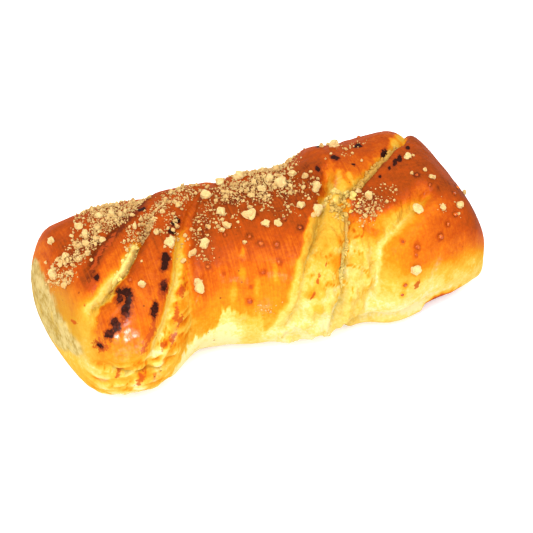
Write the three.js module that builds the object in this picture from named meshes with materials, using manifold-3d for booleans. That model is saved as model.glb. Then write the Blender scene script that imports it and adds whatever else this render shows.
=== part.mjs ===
// A twisted sweet bun: baked dough wound round a soft cheese filling, with crumble on top.
// Millimetres, +Z up. X runs along the bun, -Y is its front, and it rests on the plane z = 0.

import * as THREE from 'three';
import { mergeVertices } from 'three/addons/utils/BufferGeometryUtils.js';
import Module from 'manifold-3d';

// Driving dimensions of the loaf
const LEFT_END = -84;
const RIGHT_END = 82;
const CENTRE_SHIFT = { x: 1, y: 1.55 }; // moves the finished loaf so that its box is centred
const LEFT_CAP = 12; // length over which each end closes
const RIGHT_CAP = 5;
const LEFT_CAP_POWER = 2.6; // superellipse power of each end's closing curve
const RIGHT_CAP_POWER = 3;
const WAIST = 0.42; // height of a section's widest level, as a share of its top
const BELLY = 1.12; // reach of the lower half below the waist, past the plane it rests on
const LOWER_POWER = 2.5; // superellipse power of the lower half of a section
const SEAT_BLEND = 1; // rounding height between the flank and the flat underside
const ARC_PER_RADIAN = 29; // mean distance round the loaf, to measure widths of folds

// The flat underside: a rectangle, from which the crust lifts off at a small slope on all sides
const SEAT = { left: -62, right: 62, front: -10, back: 12 };
const SEAT_SLOPE = 8; // degrees
const SEAT_REACH = 70; // how far out the slope goes, past the flanks and the ends
const SEAT_SUNK = 1; // how far it goes on below the underside
const SEAT_ROOM = 80; // height that holds the whole loaf

// Sections along the loaf: front Y, back Y, top Z and the superellipse power of the upper half
const SECTIONS = [
  { x: -84, front: -5, back: 29, top: 36, power: 2.3 },
  { x: -75, front: -33.5, back: 32, top: 43.5, power: 2.3 },
  { x: -59, front: -42, back: 33, top: 48, power: 2.3 },
  { x: -48, front: -38.5, back: 32.5, top: 48.5, power: 2.3 },
  { x: -33, front: -29, back: 32, top: 49, power: 2.3 },
  { x: -11, front: -33, back: 33, top: 49, power: 2.3 },
  { x: 2, front: -37, back: 33, top: 48.8, power: 2.3 },
  { x: 12, front: -37.5, back: 33, top: 48.5, power: 2.3 },
  { x: 20, front: -35, back: 34.5, top: 49, power: 2.3 },
  { x: 28, front: -34.5, back: 38, top: 50.8, power: 2.3 },
  { x: 38, front: -38, back: 37.6, top: 50.2, power: 2.3 },
  { x: 60, front: -33, back: 36, top: 49.5, power: 2.8 },
  { x: 71, front: -29, back: 31.5, top: 42, power: 3.6 },
  { x: 80, front: -22, back: 24, top: 26, power: 4 },
];

// Folds between the twisted strands. A path runs through points of X and degrees round the loaf,
// 0 at the front, 90 on top and 180 at the back. low and high are the widths of the fold's two
// sides, towards -X and +X, and lip is how far the steeper side swells up. A fold with a fin
// lets the filling show: its top lies that far under the plain skin, and finAt to the fold's side.
const FOLDS = [
  {
    name: 'left roll', depth: 3, low: 4.5, high: 3.5, lip: 0,
    path: [
      [-76, 12], [-77, 32], [-74, 51], [-71, 67], [-66, 86], [-58, 104], [-48, 118], [-36, 140], [-22, 170],
    ],
  },
  {
    name: 'left slit', depth: 6, low: 4, high: 1.8, lip: 1, fin: 1.8, finAt: -2,
    path: [[-74, 8], [-73, 16], [-72, 29], [-69, 40], [-63, 49], [-56, 62], [-50, 76], [-45, 90], [-38, 110]],
  },
  {
    name: 'middle groove', depth: 4, low: 2.4, high: 3, lip: 0,
    path: [
      [-60, -4], [-56, 5], [-51, 15], [-46, 27], [-42, 38], [-38, 52],
      [-31, 88], [-26, 104], [-14, 132], [2, 166], [16, 205],
    ],
  },
  {
    name: 'band left edge', depth: 2.6, low: 3, high: 1.8, lip: 0.5,
    path: [
      [-48, -14], [-41, -9], [-38, 6], [-37, 30], [-34, 52],
      [-27, 86], [-20, 114], [-8, 140], [8, 174], [24, 212],
    ],
  },
  {
    name: 'band right edge', depth: 5, low: 1.8, high: 3.6, lip: 0.8,
    path: [
      [-8, -16], [-4, -4], [1, 15], [4, 29], [6, 37], [10, 47], [14, 58],
      [18, 72], [22, 84], [25, 97], [27, 106],
    ],
  },
  {
    name: 'right crease', depth: 5, low: 2, high: 2, lip: 0, fin: 2.6, finAt: 0,
    path: [
      [11, -14], [14, -4], [17, 9], [17, 18], [19, 26], [21, 34], [24, 48], [24, 58], [22, 66], [21, 76],
    ],
  },
  {
    name: 'right slit', depth: 6, low: 1.9, high: 1.6, lip: 0.8, fin: 1.6, finAt: 0,
    path: [
      [20, 63], [25, 66], [31, 71], [35, 79], [39, 87], [44, 94], [51, 103], [58, 112],
      [63, 124], [67, 142], [70, 165],
    ],
  },
  {
    name: 'end groove', depth: 5, low: 4.5, high: 2, lip: 0.8,
    path: [
      [25, -14], [27, -7], [30, 7], [32, 21], [34, 31], [39, 38], [44, 43], [49, 48], [54, 53], [60, 58],
    ],
  },
  {
    name: 'under fold', depth: 2.2, low: 1.8, high: 1.8, lip: 0,
    path: [[14, -26], [22, -24], [28, -23], [34, -21], [42, -18], [50, -16], [60, -15]],
  },
  {
    name: 'left tuck', depth: 2, low: 1.8, high: 1.8, lip: 0,
    path: [[-74, 9], [-68, 2], [-62, -2], [-53, -3]],
  },
];
const FOLD_STEPS = 48; // straight steps along each path
const FOLD_POWER = 1.2; // how sharply a fold's sides fall in
const FOLD_FADE = 0.14; // share of the path over which a fold fades in and out
const BACK_DEPTH = 0.5; // share of its depth that a fold keeps over the back
const BACK_FROM = 95; // degrees round over which folds lose the rest
const BACK_TO = 125;
const LIP_AWAY = 1.8; // place of a lip, in widths of its side
const LIP_WIDTH = 2.5;

// A layer of dough tucked under the front, that stands out below the under fold
const FLAP = { from: 20, to: 52, run: 3, top: -20, bottom: -46, fall: 8, out: 2.2 };

// Cheese filling
const CORE_SHARE = 0.55; // the core's radius against the plain skin
const CORE_LEFT = -68;
const CORE_RIGHT = 64;
const CORE_CAP = 10; // length over which the core closes at each end
const CORE_CAP_POWER = 2.2;
const FIN_WIDTH = 4; // half-width of a fin at its foot
const FIN_START = 0.12; // share of the fold's path where a fin starts to rise
const FIN_FULL = 0.24; // share where it has its full height
const FILLING_GAP = 0.5; // gap between the filling and the dough round it

// Crumble: big crumbs by place, [X, degrees round, diameter], and zones of smaller ones
const BIG_CRUMBS = [
  [-9, 74, 6.4], [-34, 33, 5.6], [-18, 79, 4.8], [-20, 101, 4.6], [8, 103, 5], [5, 111, 4.8],
  [-18, 67, 3.6], [-39, 66, 4], [-28, 56, 3.6], [15, 85, 3.8], [10, 76, 3.4], [-5, 64, 3.2],
  [36, 131, 3.8], [56, 90, 3.6], [50, 45, 4.2], [43, 14, 3.8], [62, 43, 3], [-79, 72, 3.4],
];
const CRUMB_ZONES = [
  { count: 15, x: [-80, -58], around: [68, 128], size: [2.8, 4.2] },
  { count: 6, x: [-45, -30], around: [72, 98], size: [2.6, 3.4] },
  { count: 20, x: [-20, 18], around: [84, 134], size: [2.8, 4.6] },
  { count: 6, x: [34, 50], around: [58, 72], size: [2.6, 3.4] },
];
const CRUMB_SUNK = 0.16; // depth of a crumb's centre under the crust, against its diameter
const CRUMB_CLEAR = 9; // distance kept from a fold that shows the filling
const CRUMB_APART = 0.75; // least distance between two crumbs, against their mean diameter
const CRUMB_SQUASH = [0.75, 1.1]; // range of a crumb's size along each of its axes
const CRUMB_TRIES = 400;
const CRUMB_SEED = 41;

// Fineness of the meshes
const SKIN_RINGS = 68;
const SKIN_SIDES = 48;
const CORE_RINGS = 46;
const CORE_SIDES = 20;
const CAP_RING_SHARE = 0.13; // share of the rings that closes each end
const TOP_DENSITY = 25; // degrees by which the sides crowd towards the top

const DOUGH_COLOUR = 0xd9822b;
const CHEESE_COLOUR = 0xf6dc8a;

const wasm = await Module();
wasm.setup();

function smoothstep(from, to, value) {
  return THREE.MathUtils.smoothstep(value, from, to);
}

// A smooth curve through one size of the sections, with the slope at each taken from its neighbours.
function sizeAlong(key, x) {
  const last = SECTIONS.length - 1;
  const slope = (i) => {
    const before = SECTIONS[Math.max(i - 1, 0)];
    const after = SECTIONS[Math.min(i + 1, last)];
    return (after[key] - before[key]) / (after.x - before.x);
  };
  let i = 0;
  while (i < last - 1 && x > SECTIONS[i + 1].x) {
    i += 1;
  }
  const span = SECTIONS[i + 1].x - SECTIONS[i].x;
  const t = THREE.MathUtils.clamp((x - SECTIONS[i].x) / span, 0, 1);
  const rest = 1 - t;
  return (1 + 2 * t) * rest * rest * SECTIONS[i][key] + t * rest * rest * span * slope(i)
    + t * t * (3 - 2 * t) * SECTIONS[i + 1][key] - t * t * rest * span * slope(i + 1);
}

// How far a body that closes at both ends has opened at x, from 0 at its ends to 1.
function opening(x, end) {
  const fromLeft = (end.left + end.leftCap - x) / end.leftCap;
  const fromRight = (x - end.right + end.rightCap) / end.rightCap;
  const left = THREE.MathUtils.clamp(fromLeft, 0, 1);
  const right = THREE.MathUtils.clamp(fromRight, 0, 1);
  return (1 - left ** end.leftPower) ** (1 / end.leftPower)
    * (1 - right ** end.rightPower) ** (1 / end.rightPower);
}

// The x of a ring, by its share of the way along, with the rings drawn together at the ends.
function ringX(share, end) {
  const quarter = Math.PI / 2 / CAP_RING_SHARE;
  if (share < CAP_RING_SHARE) {
    return end.left + end.leftCap * (1 - Math.cos(share * quarter) ** (2 / end.leftPower));
  }
  if (share > 1 - CAP_RING_SHARE) {
    return end.right - end.rightCap * (1 - Math.cos((1 - share) * quarter) ** (2 / end.rightPower));
  }
  const middle = (share - CAP_RING_SHARE) / (1 - 2 * CAP_RING_SHARE);
  return THREE.MathUtils.lerp(end.left + end.leftCap, end.right - end.rightCap, middle);
}

const LOAF = {
  left: LEFT_END, leftCap: LEFT_CAP, leftPower: LEFT_CAP_POWER,
  right: RIGHT_END, rightCap: RIGHT_CAP, rightPower: RIGHT_CAP_POWER,
};

const CORE = {
  left: CORE_LEFT, leftCap: CORE_CAP, leftPower: CORE_CAP_POWER,
  right: CORE_RIGHT, rightCap: CORE_CAP, rightPower: CORE_CAP_POWER,
};

// Radius of the plain skin, without folds, round the section's centre.
function plainRadius(x, degrees) {
  const across = -Math.cos(THREE.MathUtils.degToRad(degrees));
  const upward = Math.sin(THREE.MathUtils.degToRad(degrees));
  const halfWidth = (sizeAlong('back', x) - sizeAlong('front', x)) / 2;
  const top = sizeAlong('top', x);
  const height = upward > 0 ? top * (1 - WAIST) : top * WAIST * BELLY;
  const power = upward > 0 ? sizeAlong('power', x) : LOWER_POWER;
  return (Math.abs(across / halfWidth) ** power + Math.abs(upward / height) ** power) ** (-1 / power);
}

const FOLD_LINES = FOLDS.map((fold) => {
  const points = fold.path.map(([x, degrees]) => (
    new THREE.Vector2(x, THREE.MathUtils.degToRad(degrees) * ARC_PER_RADIAN)
  ));
  return new THREE.SplineCurve(points).getPoints(FOLD_STEPS);
});

// The signed distance from a place on the skin to a fold, positive towards +X, and the share of
// the fold's path where it is nearest.
function toFold(index, x, degrees) {
  const line = FOLD_LINES[index];
  const arc = THREE.MathUtils.degToRad(degrees) * ARC_PER_RADIAN;
  let nearest = { distance: Infinity, share: 0 };
  for (let i = 0; i < FOLD_STEPS; i += 1) {
    const stepX = line[i + 1].x - line[i].x;
    const stepArc = line[i + 1].y - line[i].y;
    const offX = x - line[i].x;
    const offArc = arc - line[i].y;
    const reach = (offX * stepX + offArc * stepArc) / (stepX * stepX + stepArc * stepArc);
    const t = THREE.MathUtils.clamp(reach, 0, 1);
    const gap = Math.hypot(offX - t * stepX, offArc - t * stepArc);
    if (gap < Math.abs(nearest.distance)) {
      const side = stepArc * offX - stepX * offArc < 0 ? -1 : 1;
      nearest = { distance: side * gap, share: (i + t) / FOLD_STEPS };
    }
  }
  return nearest;
}

// How far the tucked layer stands out.
function flapRelief(x, degrees) {
  const along = smoothstep(FLAP.from, FLAP.from + FLAP.run, x) * smoothstep(-FLAP.to, FLAP.run - FLAP.to, -x);
  const below = smoothstep(-FLAP.top, FLAP.fall - FLAP.top, -degrees);
  return FLAP.out * along * below * smoothstep(FLAP.bottom, FLAP.bottom + FLAP.fall, degrees);
}

// Height of the folded skin over the plain one.
function foldRelief(x, degrees) {
  const onFront = THREE.MathUtils.lerp(1, BACK_DEPTH, smoothstep(BACK_FROM, BACK_TO, degrees));
  let sunk = 0;
  let swollen = flapRelief(x, degrees);
  FOLDS.forEach((fold, index) => {
    const { distance, share } = toFold(index, x, degrees);
    const fade = onFront * smoothstep(0, FOLD_FADE, share) * smoothstep(0, FOLD_FADE, 1 - share);
    const width = distance > 0 ? fold.high : fold.low;
    const cut = fold.depth * fade * Math.exp(-((Math.abs(distance) / width) ** FOLD_POWER));
    sunk += cut ** 3;
    const steeper = fold.high < fold.low ? 1 : -1;
    const fromLip = distance * steeper - Math.min(fold.high, fold.low) * LIP_AWAY;
    swollen += fold.lip * fade * Math.exp(-((fromLip / LIP_WIDTH) ** 2));
  });
  return swollen - Math.cbrt(sunk);
}

// A point of the loaf from its place along, its angle round and its radius.
function placeOn(x, degrees, radius) {
  const angle = THREE.MathUtils.degToRad(degrees);
  const y = (sizeAlong('front', x) + sizeAlong('back', x)) / 2 - radius * Math.cos(angle);
  const z = sizeAlong('top', x) * WAIST + radius * Math.sin(angle);
  let seated = z;
  if (z < SEAT_BLEND) {
    seated = z < -SEAT_BLEND ? 0 : (z + SEAT_BLEND) ** 2 / (4 * SEAT_BLEND);
  }
  return new THREE.Vector3(x + CENTRE_SHIFT.x, y + CENTRE_SHIFT.y, seated);
}

function skinRadius(x, degrees) {
  return (plainRadius(x, degrees) + foldRelief(x, degrees)) * opening(x, LOAF);
}

// Radius of the filling: a core that runs through the loaf, with a fin up into each open slit.
function fillingRadius(x, degrees) {
  const plain = plainRadius(x, degrees);
  const core = plain * CORE_SHARE;
  let rise = 0;
  FOLDS.forEach((fold, index) => {
    if (fold.fin === undefined) {
      return;
    }
    const { distance, share } = toFold(index, x, degrees);
    const fade = smoothstep(FIN_START, FIN_FULL, share) * smoothstep(FIN_START, FIN_FULL, 1 - share);
    const aside = (distance - fold.finAt) / FIN_WIDTH;
    rise = Math.max(rise, (plain - fold.fin - core) * fade * Math.exp(-(aside ** 2)));
  });
  return (core + rise) * opening(x, CORE);
}

// A closed body of rings and sides, from a sphere whose points are laid out by a radius rule, and
// grown outward: round every ring, and past the two ends.
function ringBody(rings, sides, end, radiusAt, grown) {
  const geometry = new THREE.SphereGeometry(1, sides, rings);
  const positions = geometry.attributes.position;
  const shares = geometry.attributes.uv;
  for (let i = 0; i < positions.count; i += 1) {
    const share = 1 - shares.getY(i);
    const x = ringX(share, end);
    const turn = shares.getX(i);
    const crowded = 360 * turn + TOP_DENSITY * Math.sin(2 * Math.PI * turn) - 90;
    const degrees = crowded >= 270 ? crowded - 360 : crowded;
    const radius = radiusAt(x, degrees);
    const point = placeOn(x, degrees, radius > 0 ? radius + grown : 0);
    const pushed = grown * (1 - opening(x, end)) * Math.sign(share - 0.5);
    positions.setXYZ(i, point.x + pushed, point.y, point.z);
  }
  return geometry;
}

function toSolid(geometry) {
  const bare = geometry.clone();
  bare.deleteAttribute('normal');
  bare.deleteAttribute('uv');
  const merged = mergeVertices(bare);
  return new wasm.Manifold(new wasm.Mesh({
    numProp: 3,
    vertProperties: new Float32Array(merged.attributes.position.array),
    triVerts: new Uint32Array(merged.index.array),
  }));
}

function toGeometry(solid) {
  const mesh = solid.getMesh();
  const geometry = new THREE.BufferGeometry();
  geometry.setAttribute('position', new THREE.BufferAttribute(mesh.vertProperties, 3));
  geometry.setIndex(new THREE.BufferAttribute(mesh.triVerts, 1));
  geometry.computeVertexNormals();
  return geometry;
}

// Seeded random numbers from 0 to 1.
function seededRandom(seed) {
  let state = seed;
  return () => {
    state = (state + 0x6d2b79f5) | 0;
    let mixed = Math.imul(state ^ (state >>> 15), 1 | state);
    mixed = (mixed + Math.imul(mixed ^ (mixed >>> 7), 61 | mixed)) ^ mixed;
    return ((mixed ^ (mixed >>> 14)) >>> 0) / 4294967296;
  };
}

// Whether a place lies far enough from every fold that shows the filling.
function clearOfFilling(x, degrees) {
  return FOLDS.every((fold, index) => (
    fold.fin === undefined || Math.abs(toFold(index, x, degrees).distance) > CRUMB_CLEAR
  ));
}

// Places and sizes of the crumbs: the big ones first, then each zone filled by seeded draws.
function crumbPlaces(random) {
  const between = ([low, high]) => low + (high - low) * random();
  const crumbs = [];
  const add = (x, degrees, size) => {
    const at = placeOn(x, degrees, skinRadius(x, degrees) - size * CRUMB_SUNK);
    const free = crumbs.every((crumb) => (
      crumb.at.distanceTo(at) > (crumb.size + size) / 2 * CRUMB_APART
    ));
    if (!free || !clearOfFilling(x, degrees)) {
      return false;
    }
    crumbs.push({ at, size });
    return true;
  };
  BIG_CRUMBS.forEach(([x, degrees, size]) => add(x, degrees, size));
  CRUMB_ZONES.forEach((zone) => {
    let placed = 0;
    for (let i = 0; i < CRUMB_TRIES && placed < zone.count; i += 1) {
      const size = THREE.MathUtils.lerp(zone.size[1], zone.size[0], placed / zone.count);
      if (add(between(zone.x), between(zone.around), size)) {
        placed += 1;
      }
    }
  });
  return crumbs;
}

// One crumb: a lump with few faces, squashed and turned at random.
function crumbSolid(crumb, random) {
  const [least, most] = CRUMB_SQUASH;
  const squash = () => least + (most - least) * random();
  const geometry = new THREE.IcosahedronGeometry(crumb.size / 2, 0);
  geometry.scale(squash(), squash(), squash());
  geometry.rotateX(random() * Math.PI);
  geometry.rotateZ(random() * Math.PI);
  geometry.translate(crumb.at.x, crumb.at.y, crumb.at.z);
  return toSolid(geometry);
}

function makeFilling() {
  return ringBody(CORE_RINGS, CORE_SIDES, CORE, fillingRadius, 0);
}

// All the space over the seat and its four slopes.
function makeRoom() {
  const slope = Math.tan(THREE.MathUtils.degToRad(SEAT_SLOPE));
  const corners = (away, z) => [
    [SEAT.left - away, SEAT.front - away, z],
    [SEAT.right + away, SEAT.front - away, z],
    [SEAT.right + away, SEAT.back + away, z],
    [SEAT.left - away, SEAT.back + away, z],
  ];
  return wasm.Manifold.hull([
    ...corners(-SEAT_SUNK / slope, -SEAT_SUNK),
    ...corners(SEAT_REACH, SEAT_REACH * slope),
    ...corners(SEAT_REACH, SEAT_ROOM),
  ]);
}

// The dough: the folded skin, cut to its seat and hollowed for the filling, with the crumbs fused on.
function makeDough() {
  const skin = toSolid(ringBody(SKIN_RINGS, SKIN_SIDES, LOAF, skinRadius, 0));
  const hollow = toSolid(ringBody(CORE_RINGS, CORE_SIDES, CORE, fillingRadius, FILLING_GAP));
  let dough = skin.intersect(makeRoom()).subtract(hollow);
  const random = seededRandom(CRUMB_SEED);
  crumbPlaces(random).forEach((crumb) => {
    dough = dough.add(crumbSolid(crumb, random));
  });
  return toGeometry(dough);
}

function part(name, geometry, colour, roughness) {
  const material = new THREE.MeshStandardMaterial({ color: colour, roughness, metalness: 0 });
  const mesh = new THREE.Mesh(geometry, material);
  mesh.name = name;
  return mesh;
}

const bun = new THREE.Group();
bun.add(part('dough', makeDough(), DOUGH_COLOUR, 0.45));
bun.add(part('cheese_filling', makeFilling(), CHEESE_COLOUR, 0.6));

export default bun;
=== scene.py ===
import math
import bpy
import numpy as np
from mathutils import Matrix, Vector, noise


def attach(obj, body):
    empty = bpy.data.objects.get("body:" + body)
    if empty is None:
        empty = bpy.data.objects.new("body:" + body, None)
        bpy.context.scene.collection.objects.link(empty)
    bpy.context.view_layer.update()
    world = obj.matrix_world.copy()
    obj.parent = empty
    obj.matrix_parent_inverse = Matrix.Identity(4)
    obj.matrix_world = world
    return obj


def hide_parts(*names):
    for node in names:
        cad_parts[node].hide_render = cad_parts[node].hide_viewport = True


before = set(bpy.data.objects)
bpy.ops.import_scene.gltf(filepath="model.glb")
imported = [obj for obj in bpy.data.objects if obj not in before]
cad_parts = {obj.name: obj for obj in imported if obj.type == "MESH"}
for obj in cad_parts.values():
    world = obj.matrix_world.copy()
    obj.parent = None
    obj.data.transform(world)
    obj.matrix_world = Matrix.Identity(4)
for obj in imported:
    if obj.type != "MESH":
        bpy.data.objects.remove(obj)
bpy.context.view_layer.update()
scene = bpy.context.scene
mm = 0.001
white = (1.0, 1.0, 1.0, 1.0)
print("frame loaded:", sorted(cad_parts))

# Camera, floor and light

photoView = {
    "azimuth": -20.5,  # degrees, 0 looks along +Y
    "elevation": 40.0,
    "distance": 550.0,  # mm from the aim point
    "aim": (0.8, -0.65, 17.3),
    "lens": 101.0,
}
studio = {
    "floorSize": 6000.0,  # mm
    "floorColour": (0.78, 0.78, 0.78, 1.0),
    "floorRoughness": 0.9,
    "floorGloss": 0.1,
    "floorGlow": 0.4,  # a light table keeps the shadow pale
    "skyStrength": 1.08,
    "lamps": (  # degrees, mm and watts
        {"name": "keySoftbox", "azimuth": -48, "elevation": 52, "distance": 900, "size": 600, "power": 8.6},
        {"name": "fillSoftbox", "azimuth": 35, "elevation": 60, "distance": 1000, "size": 800, "power": 5.0},
        {"name": "lowSoftbox", "azimuth": -16, "elevation": 18, "distance": 700, "size": 110, "power": 1.3},
    ),
}


def setInputs(node, values):
    for key, value in values.items():
        node.inputs[key].default_value = value


def directionFrom(azimuth, elevation):
    a = math.radians(azimuth)
    e = math.radians(elevation)
    return Vector((math.sin(a) * math.cos(e), -math.cos(a) * math.cos(e), math.sin(e)))


def aimAt(thing, azimuth, elevation, distance):
    away = directionFrom(azimuth, elevation)
    thing.location = (Vector(photoView["aim"]) + away * distance) * mm
    thing.rotation_euler = (-away).to_track_quat("-Z", "Y").to_euler()
    scene.collection.objects.link(thing)


def setCameraAndLight():
    camera = bpy.data.objects.new("photoCamera", bpy.data.cameras.new("photoCamera"))
    camera.data.lens = photoView["lens"]
    aimAt(camera, photoView["azimuth"], photoView["elevation"], photoView["distance"])
    scene.camera = camera
    for lamp in studio["lamps"]:
        light = bpy.data.lights.new(lamp["name"], "AREA")
        light.size = lamp["size"] * mm
        light.energy = lamp["power"]
        softbox = bpy.data.objects.new(lamp["name"], light)
        aimAt(softbox, lamp["azimuth"], lamp["elevation"], lamp["distance"])
    world = bpy.data.worlds.new("softSky")
    world.use_nodes = True
    setInputs(world.node_tree.nodes["Background"], {"Strength": studio["skyStrength"], "Color": white})
    scene.world = world
    scene.view_settings.view_transform = "Standard"


def addFloor():
    half = studio["floorSize"] * mm / 2
    corners = [(-half, -half, 0), (half, -half, 0), (half, half, 0), (-half, half, 0)]
    mesh = bpy.data.meshes.new("paleFloor")
    mesh.from_pydata(corners, [], [(0, 1, 2, 3)])
    floor = bpy.data.objects.new("paleFloor", mesh)
    paint = bpy.data.materials.new("paleFloor")
    paint.use_nodes = True
    setInputs(paint.node_tree.nodes["Principled BSDF"], {
        "Base Color": studio["floorColour"],
        "Roughness": studio["floorRoughness"],
        "Specular IOR Level": studio["floorGloss"],
        "Emission Color": white,
        "Emission Strength": studio["floorGlow"],
    })
    mesh.materials.append(paint)
    scene.collection.objects.link(floor)


setCameraAndLight()
addFloor()
print("studio set")

# Form of the loaf, in millimetres, as in its solid

loaf = {
    "left": -84.0, "leftCap": 12.0, "leftPower": 2.6,
    "right": 82.0, "rightCap": 5.0, "rightPower": 3.0,
    "shift": (1.0, 1.55),  # centres the box
    "waist": 0.42,  # widest level as a share of the top
    "belly": 1.12,
    "lowerPower": 2.5,
    "seatBlend": 1.0,
    "arc": 29.0,  # mm per radian round
    "foldPower": 1.2,
    "foldFade": 0.14,  # share of its length over which a fold fades out
    "backDepth": 0.5, "backFrom": 95.0, "backTo": 125.0,  # folds are shallower over the back
    "lipAway": 1.8,
    "lipWidth": 2.5,
}
sections = np.array([  # x, front y, back y, top z, upper power
    (-84, -5, 29, 36, 2.3),
    (-75, -33.5, 32, 43.5, 2.3),
    (-59, -42, 33, 48, 2.3),
    (-48, -38.5, 32.5, 48.5, 2.3),
    (-33, -29, 32, 49, 2.3),
    (-11, -33, 33, 49, 2.3),
    (2, -37, 33, 48.8, 2.3),
    (12, -37.5, 33, 48.5, 2.3),
    (20, -35, 34.5, 49, 2.3),
    (28, -34.5, 38, 50.8, 2.3),
    (38, -38, 37.6, 50.2, 2.3),
    (60, -33, 36, 49.5, 2.8),
    (71, -29, 31.5, 42, 3.6),
    (80, -22, 24, 26, 4),
], float)
folds = {  # paths of x and degrees round: 0 front, 90 top, 180 back
    "leftRoll": {
        "depth": 3.0, "low": 4.5, "high": 3.5, "lip": 0.0,
        "path": ((-76, 12), (-77, 32), (-74, 51), (-71, 67), (-66, 86),
                 (-58, 104), (-48, 118), (-36, 140), (-22, 170)),
    },
    "leftSlit": {
        "depth": 6.0, "low": 4.0, "high": 1.8, "lip": 1.0, "fin": 1.8, "finAt": -2.0,
        "path": ((-74, 8), (-73, 16), (-72, 29), (-69, 40), (-63, 49),
                 (-56, 62), (-50, 76), (-45, 90), (-38, 110)),
    },
    "middleGroove": {
        "depth": 4.0, "low": 2.4, "high": 3.0, "lip": 0.0,
        "path": ((-60, -4), (-56, 5), (-51, 15), (-46, 27), (-42, 38), (-38, 52),
                 (-31, 88), (-26, 104), (-14, 132), (2, 166), (16, 205)),
    },
    "bandLeft": {
        "depth": 2.6, "low": 3.0, "high": 1.8, "lip": 0.5,
        "path": ((-48, -14), (-41, -9), (-38, 6), (-37, 30), (-34, 52),
                 (-27, 86), (-20, 114), (-8, 140), (8, 174), (24, 212)),
    },
    "bandRight": {
        "depth": 5.0, "low": 1.8, "high": 3.6, "lip": 0.8,
        "path": ((-8, -16), (-4, -4), (1, 15), (4, 29), (6, 37), (10, 47), (14, 58),
                 (18, 72), (22, 84), (25, 97), (27, 106)),
    },
    "rightCrease": {
        "depth": 5.0, "low": 2.0, "high": 2.0, "lip": 0.0, "fin": 2.6, "finAt": 0.0,
        "path": ((11, -14), (14, -4), (17, 9), (17, 18), (19, 26),
                 (21, 34), (24, 48), (24, 58), (22, 66), (21, 76)),
    },
    "rightSlit": {
        "depth": 6.0, "low": 1.9, "high": 1.6, "lip": 0.8, "fin": 1.6, "finAt": 0.0,
        "path": ((20, 63), (25, 66), (31, 71), (35, 79), (39, 87), (44, 94), (51, 103), (58, 112),
                 (63, 124), (67, 142), (70, 165)),
    },
    "endGroove": {
        "depth": 5.0, "low": 4.5, "high": 2.0, "lip": 0.8,
        "path": ((25, -14), (27, -7), (30, 7), (32, 21), (34, 31),
                 (39, 38), (44, 43), (49, 48), (54, 53), (60, 58)),
    },
    "underFold": {
        "depth": 2.2, "low": 1.8, "high": 1.8, "lip": 0.0,
        "path": ((14, -26), (22, -24), (28, -23), (34, -21), (42, -18), (50, -16), (60, -15)),
    },
    "leftTuck": {
        "depth": 2.0, "low": 1.8, "high": 1.8, "lip": 0.0,
        "path": ((-74, 9), (-68, 2), (-62, -2), (-53, -3)),
    },
}
seat = {  # flat resting place, and the degrees of slope all round it
    "left": -62.0, "right": 62.0, "front": -10.0, "back": 12.0, "slope": 8.0,
}
flap = {  # layer tucked under the front
    "from": 20.0, "to": 52.0, "run": 3.0, "top": -20.0, "bottom": -46.0, "fall": 8.0, "out": 2.2,
}
softFolds = {  # folds that close up towards the front: degrees from and to, depth factor before and after
    "bandRight": (18, 46, 0.5, 1), "endGroove": (10, 60, 0.55, 1),
}
wobble = {"size": 6.0, "reach": 0.8, "layers": (3, 47)}  # mm by which fold lines wander off their paths
fractal = {"falloff": 1.0, "finer": 2.0, "octaves": 3}


def smoothStep(low, high, value):
    t = np.clip((value - low) / (high - low), 0, 1)
    return t * t * (3 - 2 * t)


def between(value, rise, full, fall, gone):  # 0, then 1 from full to fall, then 0 again
    return smoothStep(rise, full, value) * smoothStep(gone, fall, value)


def ramp(value, start, stop, before, after):
    return before + (after - before) * smoothStep(start, stop, value)


def bell(value, width):
    return np.exp(-(value / width) ** 2)


def endFade(share, fade):  # fades out at both ends of a path
    return between(share, 0, fade, 1 - fade, 1)


def sizeAlong(column, x):
    xs, ys = sections[:, 0], sections[:, column]
    before = np.maximum(np.arange(len(xs)) - 1, 0)
    after = np.minimum(np.arange(len(xs)) + 1, len(xs) - 1)
    slope = (ys[after] - ys[before]) / (xs[after] - xs[before])
    i = np.clip(np.searchsorted(xs, x) - 1, 0, len(xs) - 2)
    span = xs[i + 1] - xs[i]
    t = np.clip((x - xs[i]) / span, 0, 1)
    rest = 1 - t
    return ((1 + 2 * t) * rest ** 2 * ys[i] + t * rest ** 2 * span * slope[i]
            + t ** 2 * (3 - 2 * t) * ys[i + 1] - t ** 2 * rest * span * slope[i + 1])


def opening(x, end):  # 0 at the two ends, 1 where the body has its full section
    left = np.clip((end["left"] + end["leftCap"] - x) / end["leftCap"], 0, 1)
    right = np.clip((x - end["right"] + end["rightCap"]) / end["rightCap"], 0, 1)
    return ((1 - left ** end["leftPower"]) ** (1 / end["leftPower"])
            * (1 - right ** end["rightPower"]) ** (1 / end["rightPower"]))


def ringX(share, end, capShare):
    quarter = math.pi / 2 / capShare
    left = end["left"] + end["leftCap"]
    right = end["right"] - end["rightCap"]
    middle = left + (right - left) * (share - capShare) / (1 - 2 * capShare)
    fromLeft = np.cos(np.clip(share, 0, capShare) * quarter) ** (2 / end["leftPower"])
    fromRight = np.cos(np.clip(1 - share, 0, capShare) * quarter) ** (2 / end["rightPower"])
    x = np.where(share < capShare, end["left"] + end["leftCap"] * (1 - fromLeft), middle)
    return np.where(share > 1 - capShare, end["right"] - end["rightCap"] * (1 - fromRight), x)


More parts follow.
